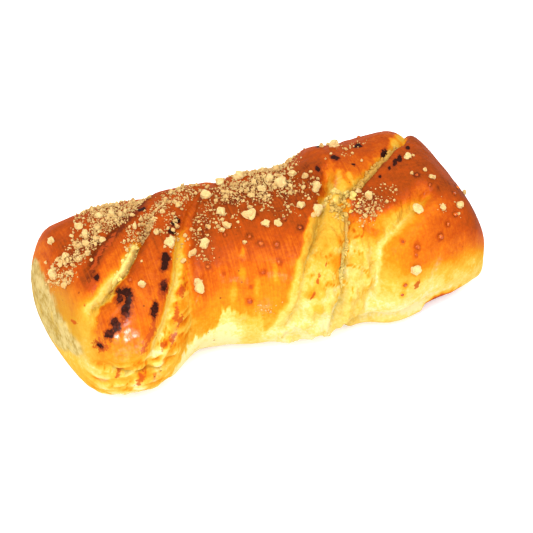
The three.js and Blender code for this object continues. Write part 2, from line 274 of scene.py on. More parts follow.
def plainRadius(x, around):
    across = -np.cos(np.radians(around))
    upward = np.sin(np.radians(around))
    halfWidth = (sizeAlong(2, x) - sizeAlong(1, x)) / 2
    top = sizeAlong(3, x)
    height = np.where(upward > 0, top * (1 - loaf["waist"]), top * loaf["waist"] * loaf["belly"])
    power = np.where(upward > 0, sizeAlong(4, x), loaf["lowerPower"])
    return (np.abs(across / halfWidth) ** power + np.abs(upward / height) ** power) ** (-1 / power)


def arcOf(around):  # mm round the loaf
    return np.radians(around) * loaf["arc"]


def splineThrough(path, steps=6):
    p = np.array(path, float)
    last = len(p) - 1
    t = (np.arange(steps) / steps)[:, None]
    out = []
    for i in range(last):
        a, b = p[i], p[i + 1]
        leave = (b - p[max(i - 1, 0)]) / 2
        arrive = (p[min(i + 2, last)] - a) / 2
        out.append((2 * a - 2 * b + leave + arrive) * t ** 3
                   + (3 * b - 3 * a - 2 * leave - arrive) * t ** 2 + leave * t + a)
    return np.vstack(out + [p[last:]])


def toFold(name, x, around, reach=16.0, farAway=1e3):  # signed distance, + towards +X, and share of the way
    line = splineThrough(folds[name]["path"])
    line[:, 1] = arcOf(line[:, 1])
    arc = arcOf(around)
    near = ((x > line[:, 0].min() - reach) & (x < line[:, 0].max() + reach)
            & (arc > line[:, 1].min() - reach) & (arc < line[:, 1].max() + reach))
    distance = np.full(x.shape, farAway)
    share = np.zeros(x.shape)
    px, pa = x[near], arc[near]
    best = np.full(px.shape, farAway)
    side = np.ones(px.shape)
    along = np.zeros(px.shape)
    count = len(line) - 1
    for i in range(count):
        step = line[i + 1] - line[i]
        offX, offA = px - line[i, 0], pa - line[i, 1]
        t = np.clip((offX * step[0] + offA * step[1]) / (step @ step), 0, 1)
        gap = np.hypot(offX - t * step[0], offA - t * step[1])
        closer = gap < best
        best[closer] = gap[closer]
        side[closer] = np.where(step[1] * offX - step[0] * offA < 0, -1, 1)[closer]
        along[closer] = ((i + t) / count)[closer]
    distance[near] = best * side
    share[near] = along
    return distance, share


def cloud(points, size):  # fractal noise, size in mm
    kind = (fractal["falloff"], fractal["finer"], fractal["octaves"])
    flat = points.reshape(-1, 3) / size
    return np.array([noise.fractal(Vector(p), *kind) for p in flat]).reshape(points.shape[:-1])


def skinCloud(x, around, sizeX, sizeArc, layer):  # noise laid out along and round the loaf
    spread = np.stack([x / sizeX, arcOf(around) / sizeArc, np.full(x.shape, float(layer))], -1)
    return cloud(spread, 1.0)


def wander(x, around):
    offX, offArc = (wobble["reach"] * skinCloud(x, around, wobble["size"], wobble["size"], layer)
                    for layer in wobble["layers"])
    return x + offX, around + np.degrees(offArc / loaf["arc"])


def foldRelief(fields, around):
    onFront = ramp(around, loaf["backFrom"], loaf["backTo"], 1, loaf["backDepth"])
    sunk, swollen = 0.0, 0.0
    for name, fold in folds.items():
        distance, share = fields[name]
        fade = onFront * endFade(share, loaf["foldFade"])
        width = np.where(distance > 0, fold["high"], fold["low"])
        if name in softFolds:
            fade = fade * ramp(around, *softFolds[name])
        cut = fold["depth"] * fade * np.exp(-(np.abs(distance) / width) ** loaf["foldPower"])
        sunk = sunk + cut ** 3
        steeper = 1 if fold["high"] < fold["low"] else -1
        fromLip = distance * steeper - min(fold["high"], fold["low"]) * loaf["lipAway"]
        swollen = swollen + fold["lip"] * fade * bell(fromLip, loaf["lipWidth"])
    return swollen - np.cbrt(sunk)


def flapRelief(x, around):
    run, fall = flap["run"], flap["fall"]
    along = between(x, flap["from"], flap["from"] + run, flap["to"] - run, flap["to"])
    upward = between(around, flap["bottom"], flap["bottom"] + fall, flap["top"] - fall, flap["top"])
    return flap["out"] * along * upward


def skinForm(x, around):  # fields of every fold, plain radius and folded radius
    wanderedX, wanderedAround = wander(x, around)
    fields = {name: toFold(name, wanderedX, wanderedAround) for name in folds}
    plain = plainRadius(x, around)
    return fields, plain, plain + foldRelief(fields, around) + flapRelief(x, around)


def placeOn(x, around, radius):
    angle = np.radians(around)
    y = (sizeAlong(1, x) + sizeAlong(2, x)) / 2 - radius * np.cos(angle)
    z = sizeAlong(3, x) * loaf["waist"] + radius * np.sin(angle)
    blend = loaf["seatBlend"]
    seated = np.where(z > blend, z, np.where(z < -blend, 0, (z + blend) ** 2 / (4 * blend)))
    x = x + loaf["shift"][0]
    y = y + loaf["shift"][1]
    pastX = np.maximum(seat["left"] - x, x - seat["right"])
    pastY = np.maximum(seat["front"] - y, y - seat["back"])
    lifted = np.maximum(np.maximum(pastX, pastY), 0) * math.tan(math.radians(seat["slope"]))
    return np.stack([x, y, np.maximum(seated, lifted)], -1)


def oneEach(grid):  # ring values as a list, with one point at each end
    return np.concatenate([grid[0, :1], grid[1:-1].reshape(-1, *grid.shape[2:]), grid[-1, :1]])


def setPointValues(mesh, name, values):
    mesh.attributes.new(name, "FLOAT", "POINT").data.foreach_set("value", values.astype(np.float32))


def ringMesh(name, end, fine, shape):
    turn = np.arange(fine["sides"]) / fine["sides"]
    around = 360 * turn + fine["crowd"] * np.sin(2 * math.pi * turn) - 90
    share = np.arange(fine["rings"] + 1) / fine["rings"]
    x, around = np.meshgrid(ringX(share, end, fine["capShare"]), around, indexing="ij")
    points, values = shape(x, around)
    points = oneEach(points) * mm
    index = 1 + np.arange(len(points) - 2).reshape(-1, fine["sides"])
    turned = np.roll(index, -1, axis=1)
    quads = np.stack([index[:-1], index[1:], turned[1:], turned[:-1]], -1).reshape(-1, 4)
    last = len(points) - 1
    leftFan = [(0, a, b) for a, b in zip(index[0], turned[0])]
    rightFan = [(last, b, a) for a, b in zip(index[-1], turned[-1])]
    mesh = bpy.data.meshes.new(name)
    mesh.from_pydata(points.tolist(), [], quads.tolist() + leftFan + rightFan)
    mesh.shade_smooth()
    for key, value in values.items():
        setPointValues(mesh, key, oneEach(value))
    setSkinMap(mesh, oneEach(x), oneEach(around), fine["sides"])
    return mesh


def setSkinMap(mesh, x, around, sides, unit=100.0):  # u along and v round the loaf, in decimetres
    loops = np.empty(len(mesh.loops), int)
    mesh.loops.foreach_get("vertex_index", loops)
    u = x[loops] / unit
    v = arcOf(around[loops]) / unit
    column = (loops - 1) % sides
    totals = np.empty(len(mesh.polygons), int)
    mesh.polygons.foreach_get("loop_total", totals)
    face = np.repeat(np.arange(len(totals)), totals)
    closing = np.zeros(len(totals), bool)
    np.logical_or.at(closing, face, column == sides - 1)
    atEnd = (loops == 0) | (loops == len(mesh.vertices) - 1)
    v[closing[face] & (column == 0) & ~atEnd] += arcOf(360.0) / unit
    layer = mesh.uv_layers.new(name="skin")
    layer.data.foreach_set("uv", np.stack([u, v], -1).ravel().astype(np.float32))


def addPiece(name, mesh, slot, *nodes):
    piece = bpy.data.objects.new(name, mesh)
    scene.collection.objects.link(piece)
    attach(piece, "root")
    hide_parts(*nodes)
    print(name, "has", len(mesh.polygons), "faces")


# Node helpers, and shader effects that several finishes share

bakeColours = (  # bake, colour
    (0.00, (0.52, 0.44, 0.21)),
    (0.06, (0.52, 0.39, 0.105)),
    (0.20, (0.49, 0.28, 0.030)),
    (0.40, (0.47, 0.165, 0.006)),
    (0.58, (0.42, 0.088, 0.004)),
    (0.75, (0.30, 0.043, 0.003)),
    (0.90, (0.20, 0.032, 0.003)),
    (1.00, (0.10, 0.015, 0.003)),
)
mottleNoise = {"detail": 4.0, "roughness": 0.6, "spread": 4.0}
redLight = (1.0, 0.5, 0.2)  # red goes furthest into dough and cheese


def addNode(tree, kind, **settings):
    node = tree.nodes.new(kind)
    for key, value in settings.items():
        setattr(node, key, value)
    return node


def feed(tree, target, value):  # a socket is wired, anything else is set
    if isinstance(value, bpy.types.NodeSocket):
        tree.links.new(value, target)
    else:
        target.default_value = value


def wired(tree, kind, inputs, **settings):  # a node with its inputs fed
    node = addNode(tree, kind, **settings)
    for key, value in inputs.items():
        feed(tree, node.inputs[key], value)
    return node.outputs


def newGroup(name, kind, inputs, output):  # rows of socket name, type and default
    tree = bpy.data.node_groups.new(name, kind)
    for key, socketType, default in inputs:
        socket = tree.interface.new_socket(key, in_out="INPUT", socket_type=socketType)
        if default is not None:
            socket.default_value = default
    outName, outType = output
    tree.interface.new_socket(outName, in_out="OUTPUT", socket_type=outType)
    given = addNode(tree, "NodeGroupInput").outputs
    return tree, given, addNode(tree, "NodeGroupOutput").inputs[outName]


def calc(tree, operation, a, b, c=None, clamp=False):
    inputs = {0: a, 1: b} if c is None else {0: a, 1: b, 2: c}
    return wired(tree, "ShaderNodeMath", inputs, operation=operation, use_clamp=clamp)[0]


def ease(tree, value, low, high, toLow=0.0, toHigh=1.0):
    inputs = {"Value": value, "From Min": low, "From Max": high, "To Min": toLow, "To Max": toHigh}
    return wired(tree, "ShaderNodeMapRange", inputs, interpolation_type="SMOOTHSTEP")["Result"]


def blendColour(tree, share, a, b):
    node = addNode(tree, "ShaderNodeMix", data_type="RGBA")
    for place, value in ((0, share), (6, a), (7, b)):  # 6 and 7 are its colour sockets
        feed(tree, node.inputs[place], (*value, 1.0) if isinstance(value, tuple) else value)
    return node.outputs[2]


def tinted(tree, colour, mask, share, target):
    return blendColour(tree, calc(tree, "MULTIPLY", mask, share), colour, target)


def attribute(tree, name):
    return addNode(tree, "ShaderNodeAttribute", attribute_name=name).outputs["Fac"]


def makeBakedColour():
    tree, given, result = newGroup("bakedColour", "ShaderNodeTree", (("Bake", "NodeSocketFloat", None),),
                                   ("Colour", "NodeSocketColor"))
    colours = addNode(tree, "ShaderNodeValToRGB")
    stops = colours.color_ramp.elements
    stops[0].position, stops[1].position = bakeColours[0][0], bakeColours[-1][0]
    for place, _ in bakeColours[1:-1]:
        stops.new(place)
    for stop, (_, colour) in zip(stops, bakeColours):
        stop.color = (*colour, 1.0)
    feed(tree, colours.inputs["Fac"], given["Bake"])
    feed(tree, result, colours.outputs["Color"])
    return tree


def makeMottle():  # grain of a given size in mm, about -1 to 1 times Strength
    sockets = (("Grain", "NodeSocketFloat", 2.0), ("Strength", "NodeSocketFloat", 1.0))
    tree, given, result = newGroup("mottle", "ShaderNodeTree", sockets, ("Value", "NodeSocketFloat"))
    texture = wired(tree, "ShaderNodeTexNoise", {
        "Vector": addNode(tree, "ShaderNodeTexCoord").outputs["Object"],
        "Scale": calc(tree, "DIVIDE", 1 / mm, given["Grain"]),
        "Detail": mottleNoise["detail"],
        "Roughness": mottleNoise["roughness"],
    })
    spread = calc(tree, "MULTIPLY_ADD", texture["Fac"], mottleNoise["spread"], -mottleNoise["spread"] / 2)
    feed(tree, result, calc(tree, "MULTIPLY", spread, given["Strength"]))
    return tree


def makeSpecks():  # small round dots in some of the cells, 0 to 1
    defaults = {"Cell": 4.0, "Dot": 0.1, "Share": 0.2}
    sockets = [(key, "NodeSocketFloat", default) for key, default in defaults.items()]
    tree, given, result = newGroup("specks", "ShaderNodeTree", sockets, ("Value", "NodeSocketFloat"))
    cells = wired(tree, "ShaderNodeTexVoronoi", {
        "Vector": addNode(tree, "ShaderNodeTexCoord").outputs["Object"],
        "Scale": calc(tree, "DIVIDE", 1 / mm, given["Cell"]),
    })
    chance = wired(tree, "ShaderNodeSeparateColor", {"Color": cells["Color"]})
    picked = calc(tree, "LESS_THAN", chance["Red"], given["Share"])
    size = calc(tree, "MULTIPLY", chance["Green"], given["Dot"])
    full = calc(tree, "MULTIPLY", size, 0.5)  # the inner half of a dot is full
    dot = ease(tree, cells["Distance"], size, full)
    feed(tree, result, calc(tree, "MULTIPLY", dot, picked))
    return tree


effects = {"bakedColour": makeBakedColour(), "mottle": makeMottle(), "specks": makeSpecks()}


def effect(tree, name, **inputs):
    return wired(tree, "ShaderNodeGroup", inputs, node_tree=effects[name])[0]


def mottled(tree, grain, strength):
    return effect(tree, "mottle", Grain=grain, Strength=strength)


def grainy(tree, value, rows):  # adds rows of grain in mm and strength
    for row in rows:
        value = calc(tree, "ADD", value, mottled(tree, *row))
    return value


def newFinish(name, look):
    material = bpy.data.materials.new(name)
    material.use_nodes = True
    shader = material.node_tree.nodes["Principled BSDF"]
    setInputs(shader, {
        "Specular IOR Level": look["specular"],
        "Subsurface Weight": look["subsurface"],
        "Subsurface Radius": redLight,
        "Subsurface Scale": look["lightDepth"] * mm,
    })
    return material, material.node_tree, shader.inputs


def addBump(tree, sockets, height, look):
    bump = wired(tree, "ShaderNodeBump", {
        "Strength": look["bumpStrength"], "Distance": look["bumpDepth"] * mm, "Height": height,
    })
    feed(tree, sockets["Normal"], bump["Normal"])


print("shader effects made")

# Crust: the twisted dough with its bake, glaze edge and scorch marks

crust = {
    "rings": 340, "sides": 268, "crowd": 25.0, "capShare": 0.1,
    "clouds": {  # shift of the noise and its grain in mm
        "lump": (0, 15.0), "ripple": (70, 4.0), "ragged": (30, 1.8), "lobe": (15, 6.0),
        "faceLump": (50, 6.0), "rimPatch": (90, 11.0),
    },
    "skinClouds": {  # grain in mm along and round, and layer of the noise
        "streak": (1.1, 16.0, 0),  # brush lines run round the loaf
        "ridge": (2.2, 8.8, 5),
        "flake": (7.0, 2.0, 13),
    },
    "faceLayers": (2.6, 14.0, 9),  # run along the rim of the cut left end
    "lumpHeight": 0.6, "rippleHeight": 0.16,  # mm
    "tornHeight": 1.0, "tornRipple": 0.6,
    "lobeHeight": 1.4,  # puffs between the tears
    "flakeHeight": 1.1,
    "edgeHeight": 0.6,  # broken edges of the slits
    "faceHeight": 0.9, "faceSunk": 0.3, "faceLumpHeight": 1.4,
    "seatRise": 6.0,  # mm over which relief comes in above the flat seat
    "capRim": (0.55, 0.92),  # share of the opening at which an end begins
    "faceRim": (0.5, -0.5), "faceRough": 0.7, "endWander": 3.0,  # mm
    "lumpBake": 0.05, "flakeBake": 0.3, "crumbBakeAndShade": 0.12,  # darker where the crumbs lie: browned by their butter, and painted shade between the crumbs
    "glazedBake": (0.25, 0.6), "glossRim": (0.0, 0.7), "blisterRim": (1.0, 0.45),
}
strandBake = (  # strand, fold at its left side, (degrees round, bake)
    ("endRoll", None, ((-30, .2), (0, .22), (20, .46), (40, .66), (60, .77), (75, .82), (100, .86),
                       (130, .8), (180, .5), (210, .3))),
    ("narrowStrand", "leftRoll", ((0, .28), (20, .34), (36, .43), (50, .54), (65, .64), (80, .72),
                                  (120, .8), (195, .4))),
    ("broadStrand", "leftSlit", ((-30, .11), (-8, .16), (2, .27), (10, .42), (20, .54), (30, .6), (45, .66),
                                 (60, .76), (80, .8), (120, .8), (180, .5), (210, .3))),
    ("thinStrand", "middleGroove", ((-30, .16), (0, .35), (15, .36), (30, .44), (50, .54), (70, .68),
                                    (100, .78), (150, .76), (205, .3))),
    ("band", "bandLeft", ((-30, .14), (-12, .26), (0, .37), (12, .44), (22, .49), (32, .55), (42, .64),
                          (55, .77), (68, .85), (85, .9), (110, .88), (140, .76), (180, .5), (212, .25))),
    ("tornStrand", "bandRight", ((-30, .02), (-5, .04), (15, .11), (30, .2), (45, .24), (60, .25),
                                 (70, .34), (80, .5), (95, .68), (115, .78), (150, .78), (180, .5),
                                 (210, .3))),
    ("crumbStrand", "rightSplit", ((-30, .06), (0, .12), (20, .13), (34, .15), (42, .33), (48, .58),
                                   (54, .8), (75, .88), (130, .82), (180, .5), (210, .3))),
    ("pillow", "endGroove", ((-30, .02), (-8, .04), (2, .13), (9, .32), (16, .54), (28, .75), (40, .83),
                             (60, .86), (90, .86), (130, .82), (180, .5), (210, .3))),
)
strandEdge = {
    "soft": 1.0, "rough": 0.7,  # mm over which one strand's bake gives way to the next
    "bandRim": 5.2, "bandRimRun": (60, 78, 1, 0),  # pale cut edge of the wide band, and where it runs out
    "splitAt": 65,  # degrees at which the crease gives way to the slit
}
bakeSlides = {  # degrees by which a strand's bake is turned, and where it turns
    "pillow": {"along": (58, 80, 0, -6)},  # by x
    "crumbStrand": {"past": (2, 9, 0, 9)},  # by mm past the strand's left fold
}
foldPale = {  # share by which dough stays paler in a fold, and mm to its low and high side
    "leftRoll": {"paler": 0.1, "low": 3.0, "high": 3.0},
    "leftSlit": {"paler": 0.76, "low": 4.0, "high": 0.9, "fades": ((74, 96, 1, 0), (24, 42, 0.35, 1))},
    "middleGroove": {"paler": 0.7, "low": 2.4, "high": 2.0, "fades": ((62, 84, 1, 0),)},
    "bandLeft": {"paler": 0.16, "low": 1.6, "high": 1.0, "fades": ((50, 70, 1, 0),)},
    "bandRight": {"paler": 0.3, "low": 1.5, "high": 3.0},
    "rightCrease": {"paler": 0.4, "low": 2.0, "high": 2.0, "fades": ((32, 50, 1, 0),)},
    "rightSlit": {"paler": 0.5, "low": 2.5, "high": 1.0},
    "endGroove": {
        "paler": 0.72, "low": 2.6, "high": 1.4, "fades": ((47, 56, 1, 0.4),),
        "widths": ((26, 42, 0.3, 1), (44, 58, 1, 0.65)), "lowWidths": ((38, 47, 1, 2.4),),
        "edge": {"outer": 2.0, "inner": 0.3, "rough": 0.4},
    },
    "leftTuck": {"paler": 0.1, "low": 1.5, "high": 1.5},
}
paleFade = 0.1  # share of a fold's length
paleEdge = {"outer": 1.35, "inner": 0.6, "rough": 0.8}  # shares of the width, and mm
glazeEdge = (  # x and degrees round, brushed this far down
    (-48, -16), (-42, -12), (-37, -6), (-32, -6), (-28.5, -3), (-27.5, 10), (-25, 11), (-21, 9),
    (-16, 2), (-13, 3), (-12.3, -8), (-12, -26), (0, -30),
)
bareDough = {  # below the glaze edge
    "edge": (-1.5, 1.5, 1, 0), "brushed": 5.0,  # degrees
    "bake": 0.06, "toRight": (-26, -16, 0, 0.18), "toFront": (-18, 5, 0.14, 0),
}
paleStreaks = (  # thin glaze on the band: x, degrees round, half length and half width in mm
    (-16, 45, 3.0, 1.6), (-18, 33, 5.0, 2.2), (-22, 20, 6.0, 1.8), (-14, 24, 5.0, 1.4), (-7, 30, 5.0, 1.4),
)
palePatches = (
    (28, 82, 8.0, 1.6), (24, 78, 8.0, 1.3), (32, 84, 5.0, 1.2), (26, 72, 4.0, 2.6), (57, 116, 3.0, 3.0),
    (25.5, 60, 4.5, 3.2), (-45, 5, 5.0, 2.5), (-76, 2, 5.0, 3.0), (19, 74, 4.0, 2.2), (61, 122, 4.0, 3.0),
)
paleMarks = (  # lean is the direction along a mark, of x and round
    {"marks": paleStreaks, "lean": (0.1, 0.995), "less": 0.34, "rim": (0.0, 0.8), "rough": 0.3},
    {"marks": palePatches, "lean": (0.2, 0.98), "less": 0.45, "rim": (-0.1, 0.6), "rough": 0.4},
)
brownFolds = (  # browner beside a fold: how much, mm away and half width in mm, degrees round
    {"fold": "leftRoll", "more": 0.4, "away": 2.5, "width": 3.0, "around": (46, 64, 112, 145)},
    {"fold": "bandLeft", "more": 0.1, "away": 5.0, "width": 5.0, "around": (14, 34, 60, 80)},
)
brownEnd = {"more": 0.08, "x": (52, 66), "around": (-40, -10, 50, 75)}
brownFlap = 0.1
paleFaceSide = {"less": 0.3, "width": 4.0, "around": (-10, 15)}
palePillowSide = {"less": 0.46, "width": 9.0, "around": (-10, 12, 40, 58)}
underside = {"from": -42, "run": 7, "rough": 3, "bake": 0.8}  # degrees
underEdge = (  # x and degrees round where the underside starts at the front
    (-84, -42), (46, -42), (51, -19), (56, -15.5), (68, -17), (73, -42),
)
faceEdge = (  # degrees round and x where the cut left end starts
    (-40, -82), (-12, -80), (-4, -79), (4, -77.5), (10, -76.5), (18, -78), (32, -80), (48, -80.5),
    (72, -81), (121, -81.5), (130, -82),
)
endBake = ((0, .35), (5, .12), (12, .2), (20, .46), (30, .64), (42, .74))  # mm up and bake on the two ends
cracks = {  # narrow tears along folds: depth and half width in mm, degrees round
    "leftTuck": (0.9, 0.8, (-10, -2, 0, 8)),
    "leftSlit": (1.0, 0.8, (32, 40, 76, 84)),
    "bandRight": (0.6, 0.8, (34, 42, 58, 66)),
}
# the crack colour is painted shade in the narrow tears, shown where they are deep
crackEdge = {"rough": 0.6, "floor": 0.2, "shows": (0.2, 0.9)}
glossMarks = (  # where the glaze is thick and wet
    (-64, 22, 7.0, 5.0), (-65, 15, 5.0, 4.0), (-60, 15, 4.0, 3.0), (-12, 10, 4.0, 3.0), (-20, 0, 3.0, 2.0),
    (-72, -4, 3.0, 2.0), (-54, -6, 5.0, 2.0), (-46, 12, 4.0, 2.0), (40, -8, 6.0, 2.0), (52, 8, 6.0, 2.0),
    (26, 80, 7.0, 2.0), (24, 74, 4.0, 2.0),
)
strandLean = (0.55, 0.835)  # direction of the strands, along and round
scorchMarks = (  # x, degrees round, half length along the strand and half width in mm
    (-60, 46, 2.0, 3.0), (-62, 43, 2.4, 1.4), (-61, 37, 4.4, 1.8), (-66, 29, 2.2, 1.9), (-68, 25, 2.4, 1.5),
    (-67, 61, 1.6, 1.0), (-37, 75, 2.6, 2.0), (-35, 81, 3.0, 1.6), (-33, 86, 2.2, 1.4),
    (-43.6, 54, 3.2, 1.9), (-43, 58, 1.8, 1.8), (-46.4, 40.5, 2.3, 1.8), (-71.4, 17, 1.0, 0.8),
    (-52, 31, 2.8, 1.6), (-43, 111, 2.2, 2.4), (31, 134, 3.0, 1.6), (31, 107, 2.4, 1.8),
    (23, 103, 1.8, 1.4), (36, 99, 0.9, 0.8),
    (50, 105, 3.0, 1.4), (43, 122, 2.4, 1.8), (50, 87, 3.0, 1.0), (53, 91, 2.4, 1.1), (59, 101, 1.6, 1.0),
    (42, 79, 1.2, 0.7), (47, 84, 1.2, 0.7),
)
redMarks = (  # lighter, foxy marks on torn and flaky places
    (-71.4, 17, 2.4, 1.8), (-69, 57, 2.8, 1.6), (-46.8, 38.5, 3.6, 2.4), (-54, 23, 3.2, 1.2),
    (-40, 33, 2.4, 1.6), (-44, 22, 2.6, 1.2), (-43, 17, 2.0, 1.6), (-47, 10, 2.4, 1.2), (-77, 29, 0.9, 0.8),
    (-67, 0, 2.6, 0.9), (-73, 43, 1.0, 0.7), (-60, -7, 3.6, 1.4), (-51, 8, 1.4, 0.9), (-54, 21, 3.0, 1.4),
    (-56, 18, 2.2, 1.2), (-58, 14, 2.4, 1.3), (4, 14, 2.4, 0.5), (7, 23, 2.0, 0.5), (11, 31, 1.2, 0.4),
    (33, 47, 1.2, 0.9), (44, 3, 1.8, 1.3), (-63, 83, 5.0, 1.2), (-58, 92, 5.0, 1.2), (-66, 74, 4.0, 1.0),
)
tornPlace = {  # torn dough between two folds: mm past each, and degrees round
    "left": "bandRight", "past": (-1, 2), "right": "endGroove", "before": (-3, 3),
    "around": (-35, -20, 48, 64),
}
flakyStrand = {
    "left": "middleGroove", "past": (0, 2), "right": "bandLeft", "before": (-1, 1),
    "around": (-8, 2, 36, 48),
}
flakyEnd = {"x": (-78, -74, -50, -44), "around": (-40, -25, 2, 10)}
puffs = {"around": (-2, 16, 38, 50), "pastCrease": (0, 3, 1, 0.25), "bake": 0.35, "lowest": -0.1}
puffRims = {  # browned rims where the puffs' noise has one height
    "at": 0.12, "width": 0.05, "patches": (-0.1, 0.2), "around": (-4, 10), "bake": 0.34,
}
brokenEdges = {  # edges of the slits
    "folds": ("leftSlit", "rightSlit", "rightCrease", "bandRight"),
    "reach": 3.0, "start": 0.1, "until": (125, 100),
}
junction = {  # cheese curds where crease and slit meet: x, degrees, half sizes in mm
    # tan is painted shade on the curds where crease and slit meet
    "x": 23.5, "around": 63, "halfX": 6.0, "halfArc": 7.0, "rim": (1.2, 0.5), "tan": 0.8,
}
oliveSide = {"x": (10, 1), "around": (-10, 20, 45, 80)}  # mm from the cut end
brushWeak = {"pillow": (30, 46, 1, 0.35), "back": (100, 135, 1, 0.4)}


def keysAt(keys, value):
    return np.interp(value, [k[0] for k in keys], [k[1] for k in keys])


def foldX(name, around):  # where a fold lies at an angle round the loaf
    if name == "rightSplit":
        lower = around < strandEdge["splitAt"]
        return np.where(lower, foldX("rightCrease", around), foldX("rightSlit", around))
    return keysAt([(degrees, x) for x, degrees in folds[name]["path"]], around)


def markField(x, around, marks, lean=strandLean):  # 1 amid a mark, 0 at its rim and less outside
    field = np.full(x.shape, -1.0)
    for mx, degrees, halfLong, halfWide in marks:
        offX = x - mx
        offA = arcOf(around - degrees)
        along = offX * lean[0] + offA * lean[1]
        aside = offX * lean[1] - offA * lean[0]
        field = np.maximum(field, 1 - np.hypot(along / halfLong, aside / halfWide))
    return field


def slideOf(name, x, past):
    slide = bakeSlides.get(name, {})
    if "along" in slide:
        return ramp(x, *slide["along"])
    return ramp(past, *slide["past"]) if "past" in slide else 0.0


def leaveBare(bake, x, around, streak):
    bare = ramp(around - keysAt(glazeEdge, x) + bareDough["brushed"] * streak, *bareDough["edge"])
    most = bareDough["bake"] + ramp(x, *bareDough["toRight"]) - ramp(around, *bareDough["toFront"])
    return bake * (1 - bare) + np.minimum(bake, most) * bare


def bakeStrands(x, around, rough, streak):  # each strand reaches from its left fold to the next
    bake = keysAt(strandBake[0][2], around)
    for name, fold, keys in strandBake[1:]:
        edge = foldX(fold, around)
        own = keysAt(keys, around + slideOf(name, x, x - edge))
        if name == "tornStrand":
            edge = edge - strandEdge["bandRim"] * ramp(around, *strandEdge["bandRimRun"])
        if name == "band":
            own = leaveBare(own, x, around, streak)
        past = x - edge + strandEdge["rough"] * rough
        inside = smoothStep(-strandEdge["soft"], strandEdge["soft"], past)
        bake = bake * (1 - inside) + own * inside
    return bake


def ramped(rows, around):
    factor = np.ones(around.shape)
    for row in rows:
        factor = factor * ramp(around, *row)
    return factor


def paleInFolds(around, fields, rough):  # factor on the bake
    factor = np.ones(around.shape)
    for name, pale in foldPale.items():
        distance, share = fields[name]
        fade = endFade(share, paleFade) * ramped(pale.get("fades", ()), around)
        low = pale["low"] * ramped(pale.get("lowWidths", ()), around)
        width = np.where(distance > 0, pale["high"], low) * ramped(pale.get("widths", ()), around)
        edge = pale.get("edge", paleEdge)
        away = np.abs(distance) + edge["rough"] * rough
        near = smoothStep(edge["outer"] * width, edge["inner"] * width, away)
        factor = factor * (1 - pale["paler"] * fade * near)
    return factor


def paintBake(x, around, fields, rough, streak):
    x, around = wander(x, around)
    bake = bakeStrands(x, around, rough, streak) * paleInFolds(around, fields, rough)
    for pale in paleMarks:
        field = markField(x, around, pale["marks"], pale["lean"]) + pale["rough"] * rough
        bake = bake * (1 - pale["less"] * smoothStep(*pale["rim"], field))
    for brown in brownFolds:
        beside = bell(fields[brown["fold"]][0] - brown["away"], brown["width"])
        bake = bake + brown["more"] * beside * between(around, *brown["around"])
    bake = bake + brownEnd["more"] * smoothStep(*brownEnd["x"], x) * between(around, *brownEnd["around"])
    bake = bake + brownFlap * flapRelief(x, around) / flap["out"]
    besideFace = bell(x - keysAt(faceEdge, around), paleFaceSide["width"])
    bake = bake * (1 - paleFaceSide["less"] * besideFace * smoothStep(*paleFaceSide["around"], around))
    fromGroove = fields["endGroove"][0]
    softSide = np.where(fromGroove > 0, bell(fromGroove, palePillowSide["width"]), 0)
    bake = bake * (1 - palePillowSide["less"] * softSide * between(around, *palePillowSide["around"]))
    edge = np.where(around > 90, underside["from"], keysAt(underEdge, x))
    level = np.where(around > 90, 180 - around, around) + underside["rough"] * rough
    under = smoothStep(edge, edge - underside["run"], level)
    return bake * (1 - under) + underside["bake"] * under


def crackField(fields, around, ragged):  # depth in mm
    deep = np.zeros(around.shape)
    for name, (depth, half, reach) in cracks.items():
        off = np.abs(fields[name][0] + crackEdge["rough"] * ragged)
        across = smoothStep(half, crackEdge["floor"] * half, off)
        deep = np.maximum(deep, depth * between(around, *reach) * across)
    return deep


def betweenFolds(x, around, place):
    past = x - foldX(place["left"], around)
    before = x - foldX(place["right"], around)
    return (smoothStep(*place["past"], past) * (1 - smoothStep(*place["before"], before))
            * between(around, *place["around"]))


def nearBrokenEdges(fields, around):
    near = np.zeros(around.shape)
    for name in brokenEdges["folds"]:
        distance, share = fields[name]
        begun = smoothStep(0, brokenEdges["start"], share)
        near = np.maximum(near, bell(distance, brokenEdges["reach"]) * begun)
    return near * smoothStep(*brokenEdges["until"], around)


